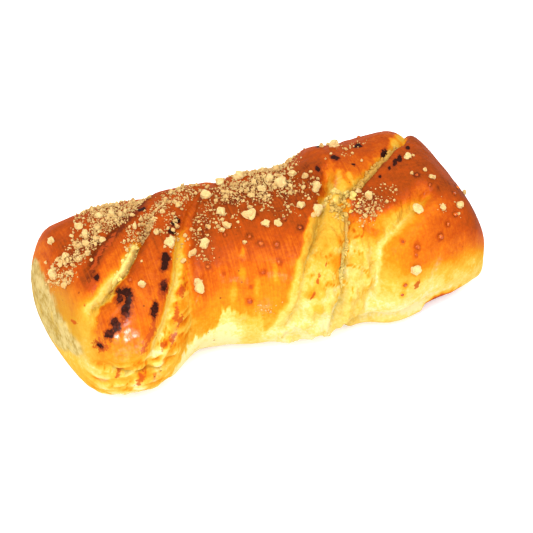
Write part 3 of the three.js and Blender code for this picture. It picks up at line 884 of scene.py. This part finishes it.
def shapeCrust(x, around):
    fields, _, folded = skinForm(x, around)
    fullness = opening(x, loaf)
    smooth = placeOn(x, around, folded * fullness)
    grain = {name: cloud(smooth + shift, size) for name, (shift, size) in crust["clouds"].items()}
    for name, row in crust["skinClouds"].items():
        grain[name] = skinCloud(x, around, *row)
    layers = skinCloud(folded * fullness, around, *crust["faceLayers"])
    torn = betweenFolds(x, around, tornPlace)
    flaky = (between(x, *flakyEnd["x"]) * between(around, *flakyEnd["around"])
             + betweenFolds(x, around, flakyStrand))
    fromFace = x - keysAt(faceEdge, around)
    face = smoothStep(*crust["faceRim"], fromFace + crust["faceRough"] * grain["ripple"])
    inCap = 1 - smoothStep(*crust["capRim"], fullness)  # 1 in the middle of each end
    nearSlit = nearBrokenEdges(fields, around)
    crack = crackField(fields, around, grain["ragged"])
    detail = (crust["lumpHeight"] * grain["lump"] + crust["rippleHeight"] * grain["ripple"]
              + crust["tornHeight"] * torn * (grain["ridge"] + crust["tornRipple"] * grain["ripple"])
              + crust["lobeHeight"] * torn * grain["lobe"] + crust["flakeHeight"] * flaky * grain["flake"]
              + crust["edgeHeight"] * nearSlit * grain["ragged"] - crack
              + face * crust["faceHeight"] * (layers - crust["faceSunk"])
              + face * crust["faceLumpHeight"] * grain["faceLump"])
    above = smoothStep(0, crust["seatRise"], smooth[..., 2])
    rims = bell(grain["lobe"] - puffRims["at"], puffRims["width"])
    rims = rims * smoothStep(*puffRims["patches"], grain["rimPatch"])
    curl = puffRims["bake"] * rims * np.maximum(torn * smoothStep(*puffRims["around"], around), flaky)
    puffed = torn * between(around, *puffs["around"])
    puffed = puffed * ramp(x - foldX("rightCrease", around), *puffs["pastCrease"])
    glazedBake = paintBake(x, around, fields, grain["ripple"], grain["streak"])
    onEnd = keysAt(endBake, smooth[..., 2] + crust["endWander"] * grain["lump"])
    bake = glazedBake * (1 - inCap) + onEnd * inCap
    bake = bake + crust["lumpBake"] * grain["lump"] - crust["flakeBake"] * flaky * grain["flake"] + curl
    bake = bake + puffed * puffs["bake"] * np.maximum(grain["lobe"], puffs["lowest"])
    glazed = smoothStep(*crust["glazedBake"], glazedBake) * (1 - inCap)
    onSkin = (1 - face) * (1 - inCap)  # no crumbs on the two ends
    crumbs = crumbleDensity(x, around, fields, crumbleZones) * onSkin
    fromJunction = np.hypot((x - junction["x"]) / junction["halfX"],
                            arcOf(around - junction["around"]) / junction["halfArc"])
    curds = smoothStep(*junction["rim"], fromJunction)
    values = {
        # crumbs add browning and painted shade between them
        "bake": np.clip(bake + crust["crumbBakeAndShade"] * crumbs, 0, 1),
        "scorch": markField(x, around, scorchMarks),
        "foxy": markField(x, around, redMarks),
        "gloss": smoothStep(*crust["glossRim"], markField(x, around, glossMarks)),
        "blister": blisterShade(x, around),
        "face": face,
        "olive": smoothStep(*oliveSide["x"], fromFace) * between(around, *oliveSide["around"]),
        # painted shade in the tears, by their depth
        "crack": smoothStep(*crackEdge["shows"], crack),
        "torn": np.maximum(torn, nearSlit),
        "glazed": glazed,
        "brushed": glazed * ramp(x, *brushWeak["pillow"]) * ramp(around, *brushWeak["back"]),
        "crumble": crumbs,
        "sprinkle": crumbleDensity(x, around, fields, sprinkleZones) * onSkin,
        "curds": curds,
        "tan": junction["tan"] * curds,  # the curds that lie there take it on, as painted shade where crease and slit meet
    }
    return placeOn(x, around, (folded + detail * above) * fullness), values


blisters = (  # x, degrees round, size in mm
    (-12, 56, 2.2), (-9, 50, 2.0), (-4, 48, 1.9), (-5, 37, 1.8), (-11, 32, 1.8), (-29, 41, 1.5),
    (-17, 15, 2.1), (-16, 24, 1.2), (40, 31, 1.4), (45, 26, 2.2), (55, 27, 2.0), (59, 33, 1.6),
    (44, 22, 1.4), (39, 6, 1.9), (38, 0, 1.8), (63, 38, 1.6), (55, 70, 1.6), (6, 57, 2.0),
    (15, 93, 1.6), (-50, 140, 2.0), (0, 150, 2.0),
    (48, 140, 2.0), (20, 145, 1.6), (-20, 60, 1.2), (2, 66, 1.4), (-24, 35, 1.1), (66, 52, 1.5),
    (70, 60, 1.4), (58, 60, 1.2), (-63, 30, 1.2), (-57, 52, 1.3),
)
crumbleZones = (  # x, degrees round, half sizes in mm along and round, mm of slant per degree, density
    (-63.5, 103, 5.5, 15.0, 0.5, 1.0), (-70, 88, 4.0, 6.0, 0.4, 0.9), (-75, 73, 4.0, 9.0, 0.25, 0.6),
    (-55, 117, 6.0, 8.0, 0.4, 1.0), (-46, 122, 6.0, 8.0, 0.4, 0.8), (-31, 110, 7.0, 8.0, 0.4, 0.8),
    (-24, 121, 6.0, 6.0, 0.3, 0.5), (-46, 93, 6.0, 7.0, 0.3, 0.9), (-37, 84, 4.0, 5.0, 0.3, 0.45),
    (-36, 66, 4.0, 5.0, 0.2, 0.3), (-2, 104, 15.0, 9.0, 0.2, 0.9), (-14, 96, 8.0, 9.0, 0.25, 0.45),
    (8, 97, 6.0, 7.0, 0.2, 0.7), (1, 92, 8.0, 5.0, 0.2, 0.6), (17, 86, 4.0, 5.0, 0.2, 0.2),
    (-28, 54, 3.5, 5.0, 0.1, 0.4), (-26, 73, 4.0, 7.0, 0.2, 0.35), (2, 74, 8.0, 4.0, 0.0, 0.22),
    (-18, 74, 6.0, 6.0, 0.1, 0.2), (34, 56, 6.0, 6.0, 0.25, 0.55), (41, 64, 5.0, 4.0, 0.3, 0.35),
    (8, 136, 14.0, 12.0, 0.3, 0.7), (-54, 138, 9.0, 12.0, 0.3, 0.8), (60, 40, 6.0, 6.0, 0.0, 0.06),
    (40, 120, 6.0, 6.0, 0.2, 0.12), (-11, 10, 5.0, 3.5, 0.0, 0.14),
)
sprinkleZones = (  # loose crumbs about the heaps, given in the same way
    (-68, 96, 11.0, 22.0, 0.45, 1.0), (-42, 82, 10.0, 16.0, 0.3, 0.9), (-30, 60, 8.0, 8.0, 0.1, 0.6),
    (2, 100, 24.0, 16.0, 0.2, 1.0), (-16, 72, 12.0, 10.0, 0.1, 0.5), (8, 78, 10.0, 8.0, 0.0, 0.6),
    (35, 58, 8.0, 7.0, 0.2, 0.9), (55, 80, 10.0, 12.0, 0.0, 0.25), (66, 55, 8.0, 10.0, 0.0, 0.3),
    (36, 120, 10.0, 12.0, 0.0, 0.3), (-50, 130, 14.0, 12.0, 0.3, 0.6),
)
heaps = {
    "rim": (1.4, 0.45),  # parts of a zone's half size
    "clearOf": ("leftSlit", "rightSlit", "rightCrease"), "clear": (1.5, 4.0),  # mm
    "slitClosed": (80, 88),  # degrees over which the left slit has closed up
    "clumps": (5.0, 5.0, 21), "clumpEdge": (-0.45, 0.5), "clumpFill": 0.5,
}


def blisterShade(x, around):
    shade = np.zeros(x.shape)
    for bx, degrees, size in blisters:
        away = np.hypot(x - bx, arcOf(around - degrees)) / size
        shade = np.maximum(shade, smoothStep(*crust["blisterRim"], away))
    return shade


def crumbleDensity(x, around, fields, zones):
    density = np.zeros(x.shape)
    for zx, degrees, halfX, halfArc, slant, share in zones:
        off = around - degrees
        away = np.hypot((x - zx - slant * off) / halfX, arcOf(off) / halfArc)
        density = np.maximum(density, share * smoothStep(*heaps["rim"], away))
    for name in heaps["clearOf"]:
        aside = smoothStep(*heaps["clear"], np.abs(fields[name][0]))
        if name == "leftSlit":
            aside = np.maximum(aside, smoothStep(*heaps["slitClosed"], around))
        density = density * aside
    clumps = skinCloud(x, around, *heaps["clumps"])
    return density * smoothStep(*heaps["clumpEdge"], clumps + heaps["clumpFill"] * density)


crustLook = {  # grains are rows of mm and strength; a range goes from and to, with least and most
    "specular": 0.0, "subsurface": 0.06, "lightDepth": 2.0,
    "brushLines": (150.0, 7.0, 1.0), "brushDetail": 3.0,  # per decimetre along and round
    "brushBake": 0.34, "brushHeight": 0.5,
    "bakeGrains": ((5.0, 0.08), (1.1, 0.07)), "blisterBake": 0.16,
    "faceGrains": ((5.0, 0.8), (1.6, 0.5)), "faceRange": (-0.6, 0.6), "faceShare": 0.92,
    "faceDark": (0.25, 0.165, 0.038), "facePale": (0.43, 0.34, 0.135),
    "faceStain": (0.50, 0.33, 0.06), "stainGrain": 7.0, "stainRange": (0.0, 1.0, 0.0, 0.8),
    "olive": (0.30, 0.165, 0.018), "oliveShare": 0.55,
    # crack colour: painted shade darkening the narrow tears
    "crack": (0.21, 0.11, 0.008), "crackShadeShare": 0.45,
    "foxy": (0.31, 0.043, 0.006), "foxyGrains": ((1.4, 0.8),), "foxyRange": (0.0, 0.4, 0.0, 0.85),
    "scorch": (0.17, 0.022, 0.004), "scorchGrains": ((2.6, 0.5), (0.9, 0.18)),
    "scorchRange": (-0.35, 0.2, 0.0, 0.85),
    "coalDark": (0.020, 0.005, 0.003), "coalPale": (0.085, 0.014, 0.006),
    "coalGrains": ((0.9, 0.6), (5.0, 0.8)), "coalRange": (0.2, 0.3),
    "speck": (0.10, 0.018, 0.004), "speckShare": 0.7,
    "specks": {"Cell": 2.6, "Dot": 0.22, "Share": 0.16},
    "roughRange": (0.0, 1.0, 0.55, 0.32), "roughGrains": ((2.5, 0.06),),  # from bare to glazed
    "wetGrain": 1.3, "wetRange": (-0.4, 0.4, 0.1, 1.0), "glazedCoat": 0.06, "coatRoughness": 0.14,
    "heightGrains": ((0.7, 0.3), (2.0, 0.3)), "tornGrain": 1.2, "tornBump": 0.8,
    "bumpStrength": 0.4, "bumpDepth": 0.3,
}


def crustFinish():
    look = crustLook
    material, tree, sockets = newFinish("bakedCrust", look)
    skin = addNode(tree, "ShaderNodeUVMap", uv_map="skin").outputs["UV"]
    lines = wired(tree, "ShaderNodeMapping", {"Vector": skin, "Scale": look["brushLines"]})["Vector"]
    brushNoise = {"Vector": lines, "Scale": 1.0, "Detail": look["brushDetail"]}
    centred = calc(tree, "SUBTRACT", wired(tree, "ShaderNodeTexNoise", brushNoise)["Fac"], 0.5)
    streak = calc(tree, "MULTIPLY", centred, attribute(tree, "brushed"))
    bake = grainy(tree, attribute(tree, "bake"), look["bakeGrains"])
    bake = calc(tree, "MULTIPLY_ADD", streak, look["brushBake"], bake)
    bake = calc(tree, "MULTIPLY_ADD", attribute(tree, "blister"), look["blisterBake"], bake, clamp=True)
    colour = effect(tree, "bakedColour", Bake=bake)
    faceGrain = ease(tree, grainy(tree, 0.0, look["faceGrains"]), *look["faceRange"])
    faceColour = blendColour(tree, faceGrain, look["faceDark"], look["facePale"])
    stain = ease(tree, mottled(tree, look["stainGrain"], 1.0), *look["stainRange"])
    faceColour = blendColour(tree, stain, faceColour, look["faceStain"])
    colour = tinted(tree, colour, attribute(tree, "olive"), look["oliveShare"], look["olive"])
    colour = tinted(tree, colour, attribute(tree, "face"), look["faceShare"], faceColour)
    # painted shade in the tears
    colour = tinted(tree, colour, attribute(tree, "crack"), look["crackShadeShare"], look["crack"])
    foxy = grainy(tree, attribute(tree, "foxy"), look["foxyGrains"])
    colour = blendColour(tree, ease(tree, foxy, *look["foxyRange"]), colour, look["foxy"])
    burnt = grainy(tree, attribute(tree, "scorch"), look["scorchGrains"])
    colour = blendColour(tree, ease(tree, burnt, *look["scorchRange"]), colour, look["scorch"])
    char = ease(tree, grainy(tree, 0.0, look["coalGrains"]), 0.0, 1.0)
    coal = blendColour(tree, char, look["coalDark"], look["coalPale"])
    colour = blendColour(tree, ease(tree, burnt, *look["coalRange"]), colour, coal)
    specks = effect(tree, "specks", **look["specks"])
    colour = tinted(tree, colour, specks, look["speckShare"], look["speck"])
    feed(tree, sockets["Base Color"], colour)
    glazed = attribute(tree, "glazed")
    dull = grainy(tree, ease(tree, glazed, *look["roughRange"]), look["roughGrains"])
    feed(tree, sockets["Roughness"], dull)
    wetPatches = ease(tree, mottled(tree, look["wetGrain"], 1.0), *look["wetRange"])
    wet = calc(tree, "MULTIPLY", attribute(tree, "gloss"), wetPatches)
    coat = calc(tree, "MULTIPLY_ADD", glazed, look["glazedCoat"], wet, clamp=True)
    feed(tree, sockets["Coat Weight"], coat)
    feed(tree, sockets["Coat Roughness"], look["coatRoughness"])
    fine = grainy(tree, 0.0, look["heightGrains"])
    height = calc(tree, "MULTIPLY_ADD", streak, look["brushHeight"], fine)
    tears = calc(tree, "MULTIPLY", attribute(tree, "torn"), mottled(tree, look["tornGrain"], 1.0))
    addBump(tree, sockets, calc(tree, "MULTIPLY_ADD", tears, look["tornBump"], height), look)
    return material


crustMesh = ringMesh("crust", loaf, crust, shapeCrust)
crustMesh.materials.append(crustFinish())
addPiece("crust", crustMesh, "crust", "dough")

# Cheese filling: a core through the loaf with fins up into the open slits

filling = {
    "left": -68.0, "leftCap": 10.0, "leftPower": 2.2,
    "right": 64.0, "rightCap": 10.0, "rightPower": 2.2,
    "coreShare": 0.55, "finWidth": 4.0, "finStart": 0.12, "finFull": 0.24,
    "rings": 260, "sides": 220, "crowd": 25.0, "capShare": 0.1,
    "curds": (2.4, 2.4, 60), "curdHeight": 0.9,  # grain in mm along and round, and layer of the noise
    "creaseWidth": 2.5, "creaseSunk": 1.2,
    "creaseDeep": (18, 50), "creaseShade": 0.35,  # painted shade on the cheese in the crease, paler towards the front
    "slitWidth": 4.0, "slitTan": (60, 68),
    "topToast": (52, 84, 0, 0.5), "curdToast": 0.2,
    "bare": (-1.5, 0.0), "curdPlaces": (-0.4, 0.2), "creaseCurds": 1.5,
}
cheeseLook = {
    "specular": 0.15, "subsurface": 0.12, "lightDepth": 2.0, "roughness": 0.5,
    "pale": (0.56, 0.43, 0.115), "toasted": (0.42, 0.18, 0.016),
    "toastGrains": ((3.0, 0.22),), "toastRange": (0.25, 0.75),
    "curd": (0.56, 0.47, 0.19), "curdGrain": 1.0, "curdRange": (0.1, 1.0, 0.0, 0.6),
    # tan: toasted colour in the right slit, and painted shade in the crease and at the junction
    "tan": (0.36, 0.185, 0.026), "tanShare": 0.85,
    "bumpGrain": (0.8, 0.5), "bumpStrength": 0.5, "bumpDepth": 0.4,
}


def shapeFilling(x, around):
    fields, plain, folded = skinForm(x, around)
    core = plain * filling["coreShare"]
    rise = np.zeros(x.shape)
    for name, fold in folds.items():
        if "fin" not in fold:
            continue
        distance, share = fields[name]
        start, full = filling["finStart"], filling["finFull"]
        fade = between(share, start, full, 1 - full, 1 - start)
        fin = fade * bell(distance - fold["finAt"], filling["finWidth"])
        rise = np.maximum(rise, (plain - fold["fin"] - core) * fin)
    fullness = opening(x, filling)
    radius = (core + rise) * fullness
    curd = skinCloud(x, around, *filling["curds"])
    inCrease = bell(fields["rightCrease"][0], filling["creaseWidth"])
    deep = inCrease * smoothStep(*filling["creaseDeep"], around)
    inSlit = bell(fields["rightSlit"][0], filling["slitWidth"]) * smoothStep(*filling["slitTan"], around)
    bare = smoothStep(*filling["bare"], radius - folded * opening(x, loaf))
    curdPlaces = smoothStep(*filling["curdPlaces"], curd)
    relief = (filling["curdHeight"] * curd - filling["creaseSunk"] * inCrease) * fullness
    # the crease's share of toast is painted shade
    toast = ramp(around, *filling["topToast"]) + filling["curdToast"] * curd + filling["creaseShade"] * deep
    values = {
        "toast": toast,
        # tan: toasted cheese in the right slit, and painted shade deep in the crease
        "tan": np.maximum(inSlit, deep),
        "crumble": bare * curdPlaces * (1 + filling["creaseCurds"] * inCrease),
    }
    return placeOn(x, around, radius + relief), values


def cheeseFinish():
    look = cheeseLook
    material, tree, sockets = newFinish("bakedCheese", look)
    warm = ease(tree, grainy(tree, attribute(tree, "toast"), look["toastGrains"]), *look["toastRange"])
    colour = blendColour(tree, warm, look["pale"], look["toasted"])
    curdy = ease(tree, mottled(tree, look["curdGrain"], 1.0), *look["curdRange"])
    colour = blendColour(tree, curdy, colour, look["curd"])
    # tan tint: toasted slit, and painted shade in the crease and at the junction
    colour = tinted(tree, colour, attribute(tree, "tan"), look["tanShare"], look["tan"])
    feed(tree, sockets["Base Color"], colour)
    feed(tree, sockets["Roughness"], look["roughness"])
    addBump(tree, sockets, mottled(tree, *look["bumpGrain"]), look)
    return material


fillingMesh = ringMesh("cheeseFilling", filling, filling, shapeFilling)
cheeseMaterial = cheeseFinish()
fillingMesh.materials.append(cheeseMaterial)
addPiece("cheeseFilling", fillingMesh, "cheese", "cheese_filling")

# Crumble: flour and sugar crumbs, scattered by density over the crust, and the big ones in their places

grains = (  # density per square mm, sizes in mm
    {"name": "fineCrumble", "on": "crust", "of": "crumble", "mask": "crumble",
     "density": 3.4, "smallest": 0.32, "largest": 0.95, "faces": 1, "seed": 3},
    {"name": "coarseCrumble", "on": "crust", "of": "crumble", "mask": "crumble",
     "density": 0.46, "smallest": 0.6, "largest": 1.9, "faces": 2, "seed": 8},
    {"name": "looseCrumble", "on": "crust", "of": "crumble", "mask": "sprinkle",
     "density": 0.05, "smallest": 1.0, "largest": 2.8, "faces": 2, "seed": 12},
    {"name": "junctionCurds", "on": "crust", "of": "cheese", "mask": "curds",
     "density": 0.5, "smallest": 0.8, "largest": 2.4, "faces": 2, "seed": 14},
    {"name": "cheeseCurds", "on": "filling", "of": "cheese", "mask": "crumble",
     "density": 0.5, "smallest": 0.5, "largest": 1.6, "faces": 2, "seed": 6},
)
lumps = {
    "sunk": 0.2, "lumpy": 0.9, "bigFaces": 3, "bigSeed": 5, "bigSunk": 0.14,
    "skew": 2.2,  # few are near the largest size
    "turn": (6.28, 6.28, 6.28), "thinnest": (0.7, 0.7, 0.6), "fullest": (1.15, 1.15, 1.0),
    "noise": 1.7, "noiseDetail": 2.0,  # waves to a crumb
}
bigCrumbs = (  # x, degrees round, size in mm
    (-9.3, 72.5, 6.0), (-34, 31.5, 5.2), (-18, 79, 4.2), (-20, 101, 4.0), (8, 103, 4.2), (5, 111, 4.0),
    (-18, 67, 2.8), (-39, 66, 4.0), (-28, 56, 3.6), (18, 85, 3.8), (10, 75, 3.4), (15, 68, 3.8),
    (-5, 64, 3.0), (-1, 63, 2.8), (36, 131, 3.8), (56, 90, 3.2), (50, 46, 4.2), (43, 14, 3.8),
    (34, 62, 3.0), (66, 44, 2.6), (-79, 72, 3.2), (-76, 112, 2.6), (-74, 87, 3.0), (-65, 107, 3.0),
    (-77, 59, 2.2), (-12, 118, 3.6), (-4, 124, 3.4), (14, 112, 3.2), (-66, 118, 3.2), (-58, 122, 3.0),
    (0, 100, 3.0), (-48, 98, 2.4), (-45, 102, 2.2), (-42.5, 78, 2.4), (-47, 109, 1.8), (-66, 98, 2.4),
    (-70, 84, 2.2), (-60, 110, 2.4),
)
crumbLook = {
    "specular": 0.12, "subsurface": 0.1, "lightDepth": 1.0, "roughness": 0.7,
    "flour": (0.50, 0.335, 0.125), "browned": (0.35, 0.155, 0.034),
    "brownGrain": 3.0, "brownRange": (-0.6, 0.9, 0.0, 0.75),
    "sugar": (0.61, 0.47, 0.235), "sugarGrain": 0.8, "sugarRange": (0.0, 1.2, 0.0, 0.6),
    "large": (0.64, 0.49, 0.22), "largeRange": (1.4 * mm, 3.8 * mm, 0.0, 0.4),
    "bumpGrain": (0.5, 0.5), "bumpStrength": 0.6, "bumpDepth": 0.3,
}


def named(tree, name):  # values that the points carry
    return wired(tree, "GeometryNodeInputNamedAttribute", {"Name": name}, data_type="FLOAT")["Attribute"]


def scaled(tree, vector, factor):
    return wired(tree, "ShaderNodeVectorMath", {0: vector, "Scale": factor}, operation="SCALE")[0]


def drawn(tree, seed, low, high):
    inputs = {0: low, 1: high, "Seed": seed}
    return wired(tree, "FunctionNodeRandomValue", inputs, data_type="FLOAT_VECTOR")[0]


def moved(tree, geometry, offset):
    return wired(tree, "GeometryNodeSetPosition", {"Geometry": geometry, "Offset": offset})["Geometry"]


def crumbTail(tree, given, points):  # lumps on points that carry crumbSize
    size = named(tree, "crumbSize")
    squash = drawn(tree, given["Seed"], lumps["thinnest"], lumps["fullest"])
    ball = wired(tree, "GeometryNodeMeshIcoSphere", {"Radius": 0.5, "Subdivisions": given["Faces"]})
    placed = wired(tree, "GeometryNodeInstanceOnPoints", {
        "Points": points,
        "Instance": ball["Mesh"],
        "Rotation": drawn(tree, given["Seed"], (0.0, 0.0, 0.0), lumps["turn"]),
        "Scale": scaled(tree, squash, size),
    })
    real = wired(tree, "GeometryNodeRealizeInstances", {"Geometry": placed["Instances"]})
    position = addNode(tree, "GeometryNodeInputPosition").outputs["Position"]
    rough = wired(tree, "ShaderNodeTexNoise", {
        "Vector": scaled(tree, position, calc(tree, "DIVIDE", lumps["noise"], size)),
        "Scale": 1.0,
        "Detail": lumps["noiseDetail"],
    })
    middle = {0: rough["Color"], 1: (0.5, 0.5, 0.5)}
    centred = wired(tree, "ShaderNodeVectorMath", middle, operation="SUBTRACT")[0]
    push = scaled(tree, centred, calc(tree, "MULTIPLY", size, given["Lumpy"]))
    painted = {"Geometry": moved(tree, real["Geometry"], push), "Material": given["Finish"]}
    return wired(tree, "GeometryNodeSetMaterial", painted)["Geometry"]


def scatterPoints(tree, given):  # points on the base, denser where its mask is higher
    spread = wired(tree, "GeometryNodeDistributePointsOnFaces", {
        "Mesh": given["Base"],
        "Density": calc(tree, "MULTIPLY", named(tree, given["Mask"]), given["Density"]),
        "Seed": given["Seed"],
    })
    draw = wired(tree, "FunctionNodeRandomValue", {"Seed": given["Seed"]}, data_type="FLOAT")[1]
    skewed = calc(tree, "POWER", draw, lumps["skew"])
    span = calc(tree, "SUBTRACT", given["Largest"], given["Smallest"])
    sized = wired(tree, "GeometryNodeStoreNamedAttribute", {
        "Geometry": spread["Points"],
        "Name": "crumbSize",
        "Value": calc(tree, "MULTIPLY_ADD", skewed, span, given["Smallest"]),
    }, data_type="FLOAT", domain="POINT")
    rise = calc(tree, "MULTIPLY", named(tree, "crumbSize"), given["Sunk"])
    return moved(tree, sized["Geometry"], scaled(tree, spread["Normal"], rise))


def crumbTree(name, scattered):
    sockets = [
        ("Base", "NodeSocketGeometry", None), ("Finish", "NodeSocketMaterial", None),
        ("Faces", "NodeSocketInt", 2), ("Lumpy", "NodeSocketFloat", 0.8), ("Seed", "NodeSocketInt", 1),
    ]
    if scattered:
        sockets += [(key, "NodeSocketFloat", None) for key in ("Density", "Smallest", "Largest", "Sunk")]
        sockets += [("Mask", "NodeSocketString", None)]
    tree, given, result = newGroup(name, "GeometryNodeTree", sockets, ("Crumbs", "NodeSocketGeometry"))
    points = scatterPoints(tree, given) if scattered else given["Base"]
    feed(tree, result, crumbTail(tree, given, points))
    return tree


def grow(name, mesh, tree, **inputs):  # runs a tree on a mesh and keeps the result as a plain mesh
    host = bpy.data.objects.new(name, mesh)
    scene.collection.objects.link(host)
    modifier = host.modifiers.new("crumbs", "NODES")
    modifier.node_group = tree
    for item in tree.interface.items_tree:
        if item.in_out == "INPUT" and item.name in inputs:
            modifier[item.identifier] = inputs[item.name]
    made = bpy.data.meshes.new_from_object(host.evaluated_get(bpy.context.evaluated_depsgraph_get()))
    bpy.data.objects.remove(host)
    made.name = name
    return made


def crumbPoints(name, rows, sunk):
    x, around, size = (np.array(column, float) for column in zip(*rows))
    radius = skinForm(x, around)[2] * opening(x, loaf)
    mesh = bpy.data.meshes.new(name)
    mesh.from_pydata((placeOn(x, around, radius + size * sunk) * mm).tolist(), [], [])
    setPointValues(mesh, "crumbSize", size * mm)
    return mesh


def crumbleFinish():
    look = crumbLook
    material, tree, sockets = newFinish("sugarCrumble", look)
    warm = ease(tree, mottled(tree, look["brownGrain"], 1.0), *look["brownRange"])
    colour = blendColour(tree, warm, look["flour"], look["browned"])
    sugary = ease(tree, mottled(tree, look["sugarGrain"], 1.0), *look["sugarRange"])
    colour = blendColour(tree, sugary, colour, look["sugar"])
    lighter = ease(tree, attribute(tree, "crumbSize"), *look["largeRange"])
    feed(tree, sockets["Base Color"], blendColour(tree, lighter, colour, look["large"]))
    feed(tree, sockets["Roughness"], look["roughness"])
    addBump(tree, sockets, mottled(tree, *look["bumpGrain"]), look)
    return material


bases = {"crust": crustMesh, "filling": fillingMesh}
stuffs = {  # finish, slot and node
    "crumble": (crumbleFinish(), "crust", "dough"),
    "cheese": (cheeseMaterial, "cheese", "cheese_filling"),
}
scatterTree = crumbTree("crumbleScatter", True)
for grade in grains:
    finish, slot, node = stuffs[grade["of"]]
    made = grow(grade["name"], bases[grade["on"]], scatterTree, Mask=grade["mask"], Seed=grade["seed"],
                Density=grade["density"] / mm ** 2, Smallest=grade["smallest"] * mm,
                Largest=grade["largest"] * mm, Faces=grade["faces"], Sunk=lumps["sunk"],
                Lumpy=lumps["lumpy"], Finish=finish)
    addPiece(grade["name"], made, slot, node)
lumpTree = crumbTree("crumbleLumps", False)
bigOnes = grow("bigCrumble", crumbPoints("bigCrumbPoints", bigCrumbs, lumps["bigSunk"]), lumpTree,
               Faces=lumps["bigFaces"], Seed=lumps["bigSeed"], Lumpy=lumps["lumpy"],
               Finish=stuffs["crumble"][0])
addPiece("bigCrumble", bigOnes, "crust", "dough")

# Blisters: small bubbles in the glaze

blisterLook = {
    "specular": 0.2, "subsurface": 0.1, "lightDepth": 1.0, "roughness": 0.12,
    "grain": 1.2, "bakeRange": (-0.8, 0.8, 0.55, 0.86),
    "sunk": -0.12, "faces": 3, "seed": 2, "lumpy": 0.2,
}


def blisterFinish():
    look = blisterLook
    material, tree, sockets = newFinish("glazeBlister", look)
    bake = ease(tree, mottled(tree, look["grain"], 1.0), *look["bakeRange"])
    feed(tree, sockets["Base Color"], effect(tree, "bakedColour", Bake=bake))
    feed(tree, sockets["Roughness"], look["roughness"])
    return material


bubbles = grow("blisters", crumbPoints("blisterPoints", blisters, blisterLook["sunk"]), lumpTree,
               Faces=blisterLook["faces"], Seed=blisterLook["seed"], Lumpy=blisterLook["lumpy"],
               Finish=blisterFinish())
addPiece("blisters", bubbles, "crust", "dough")
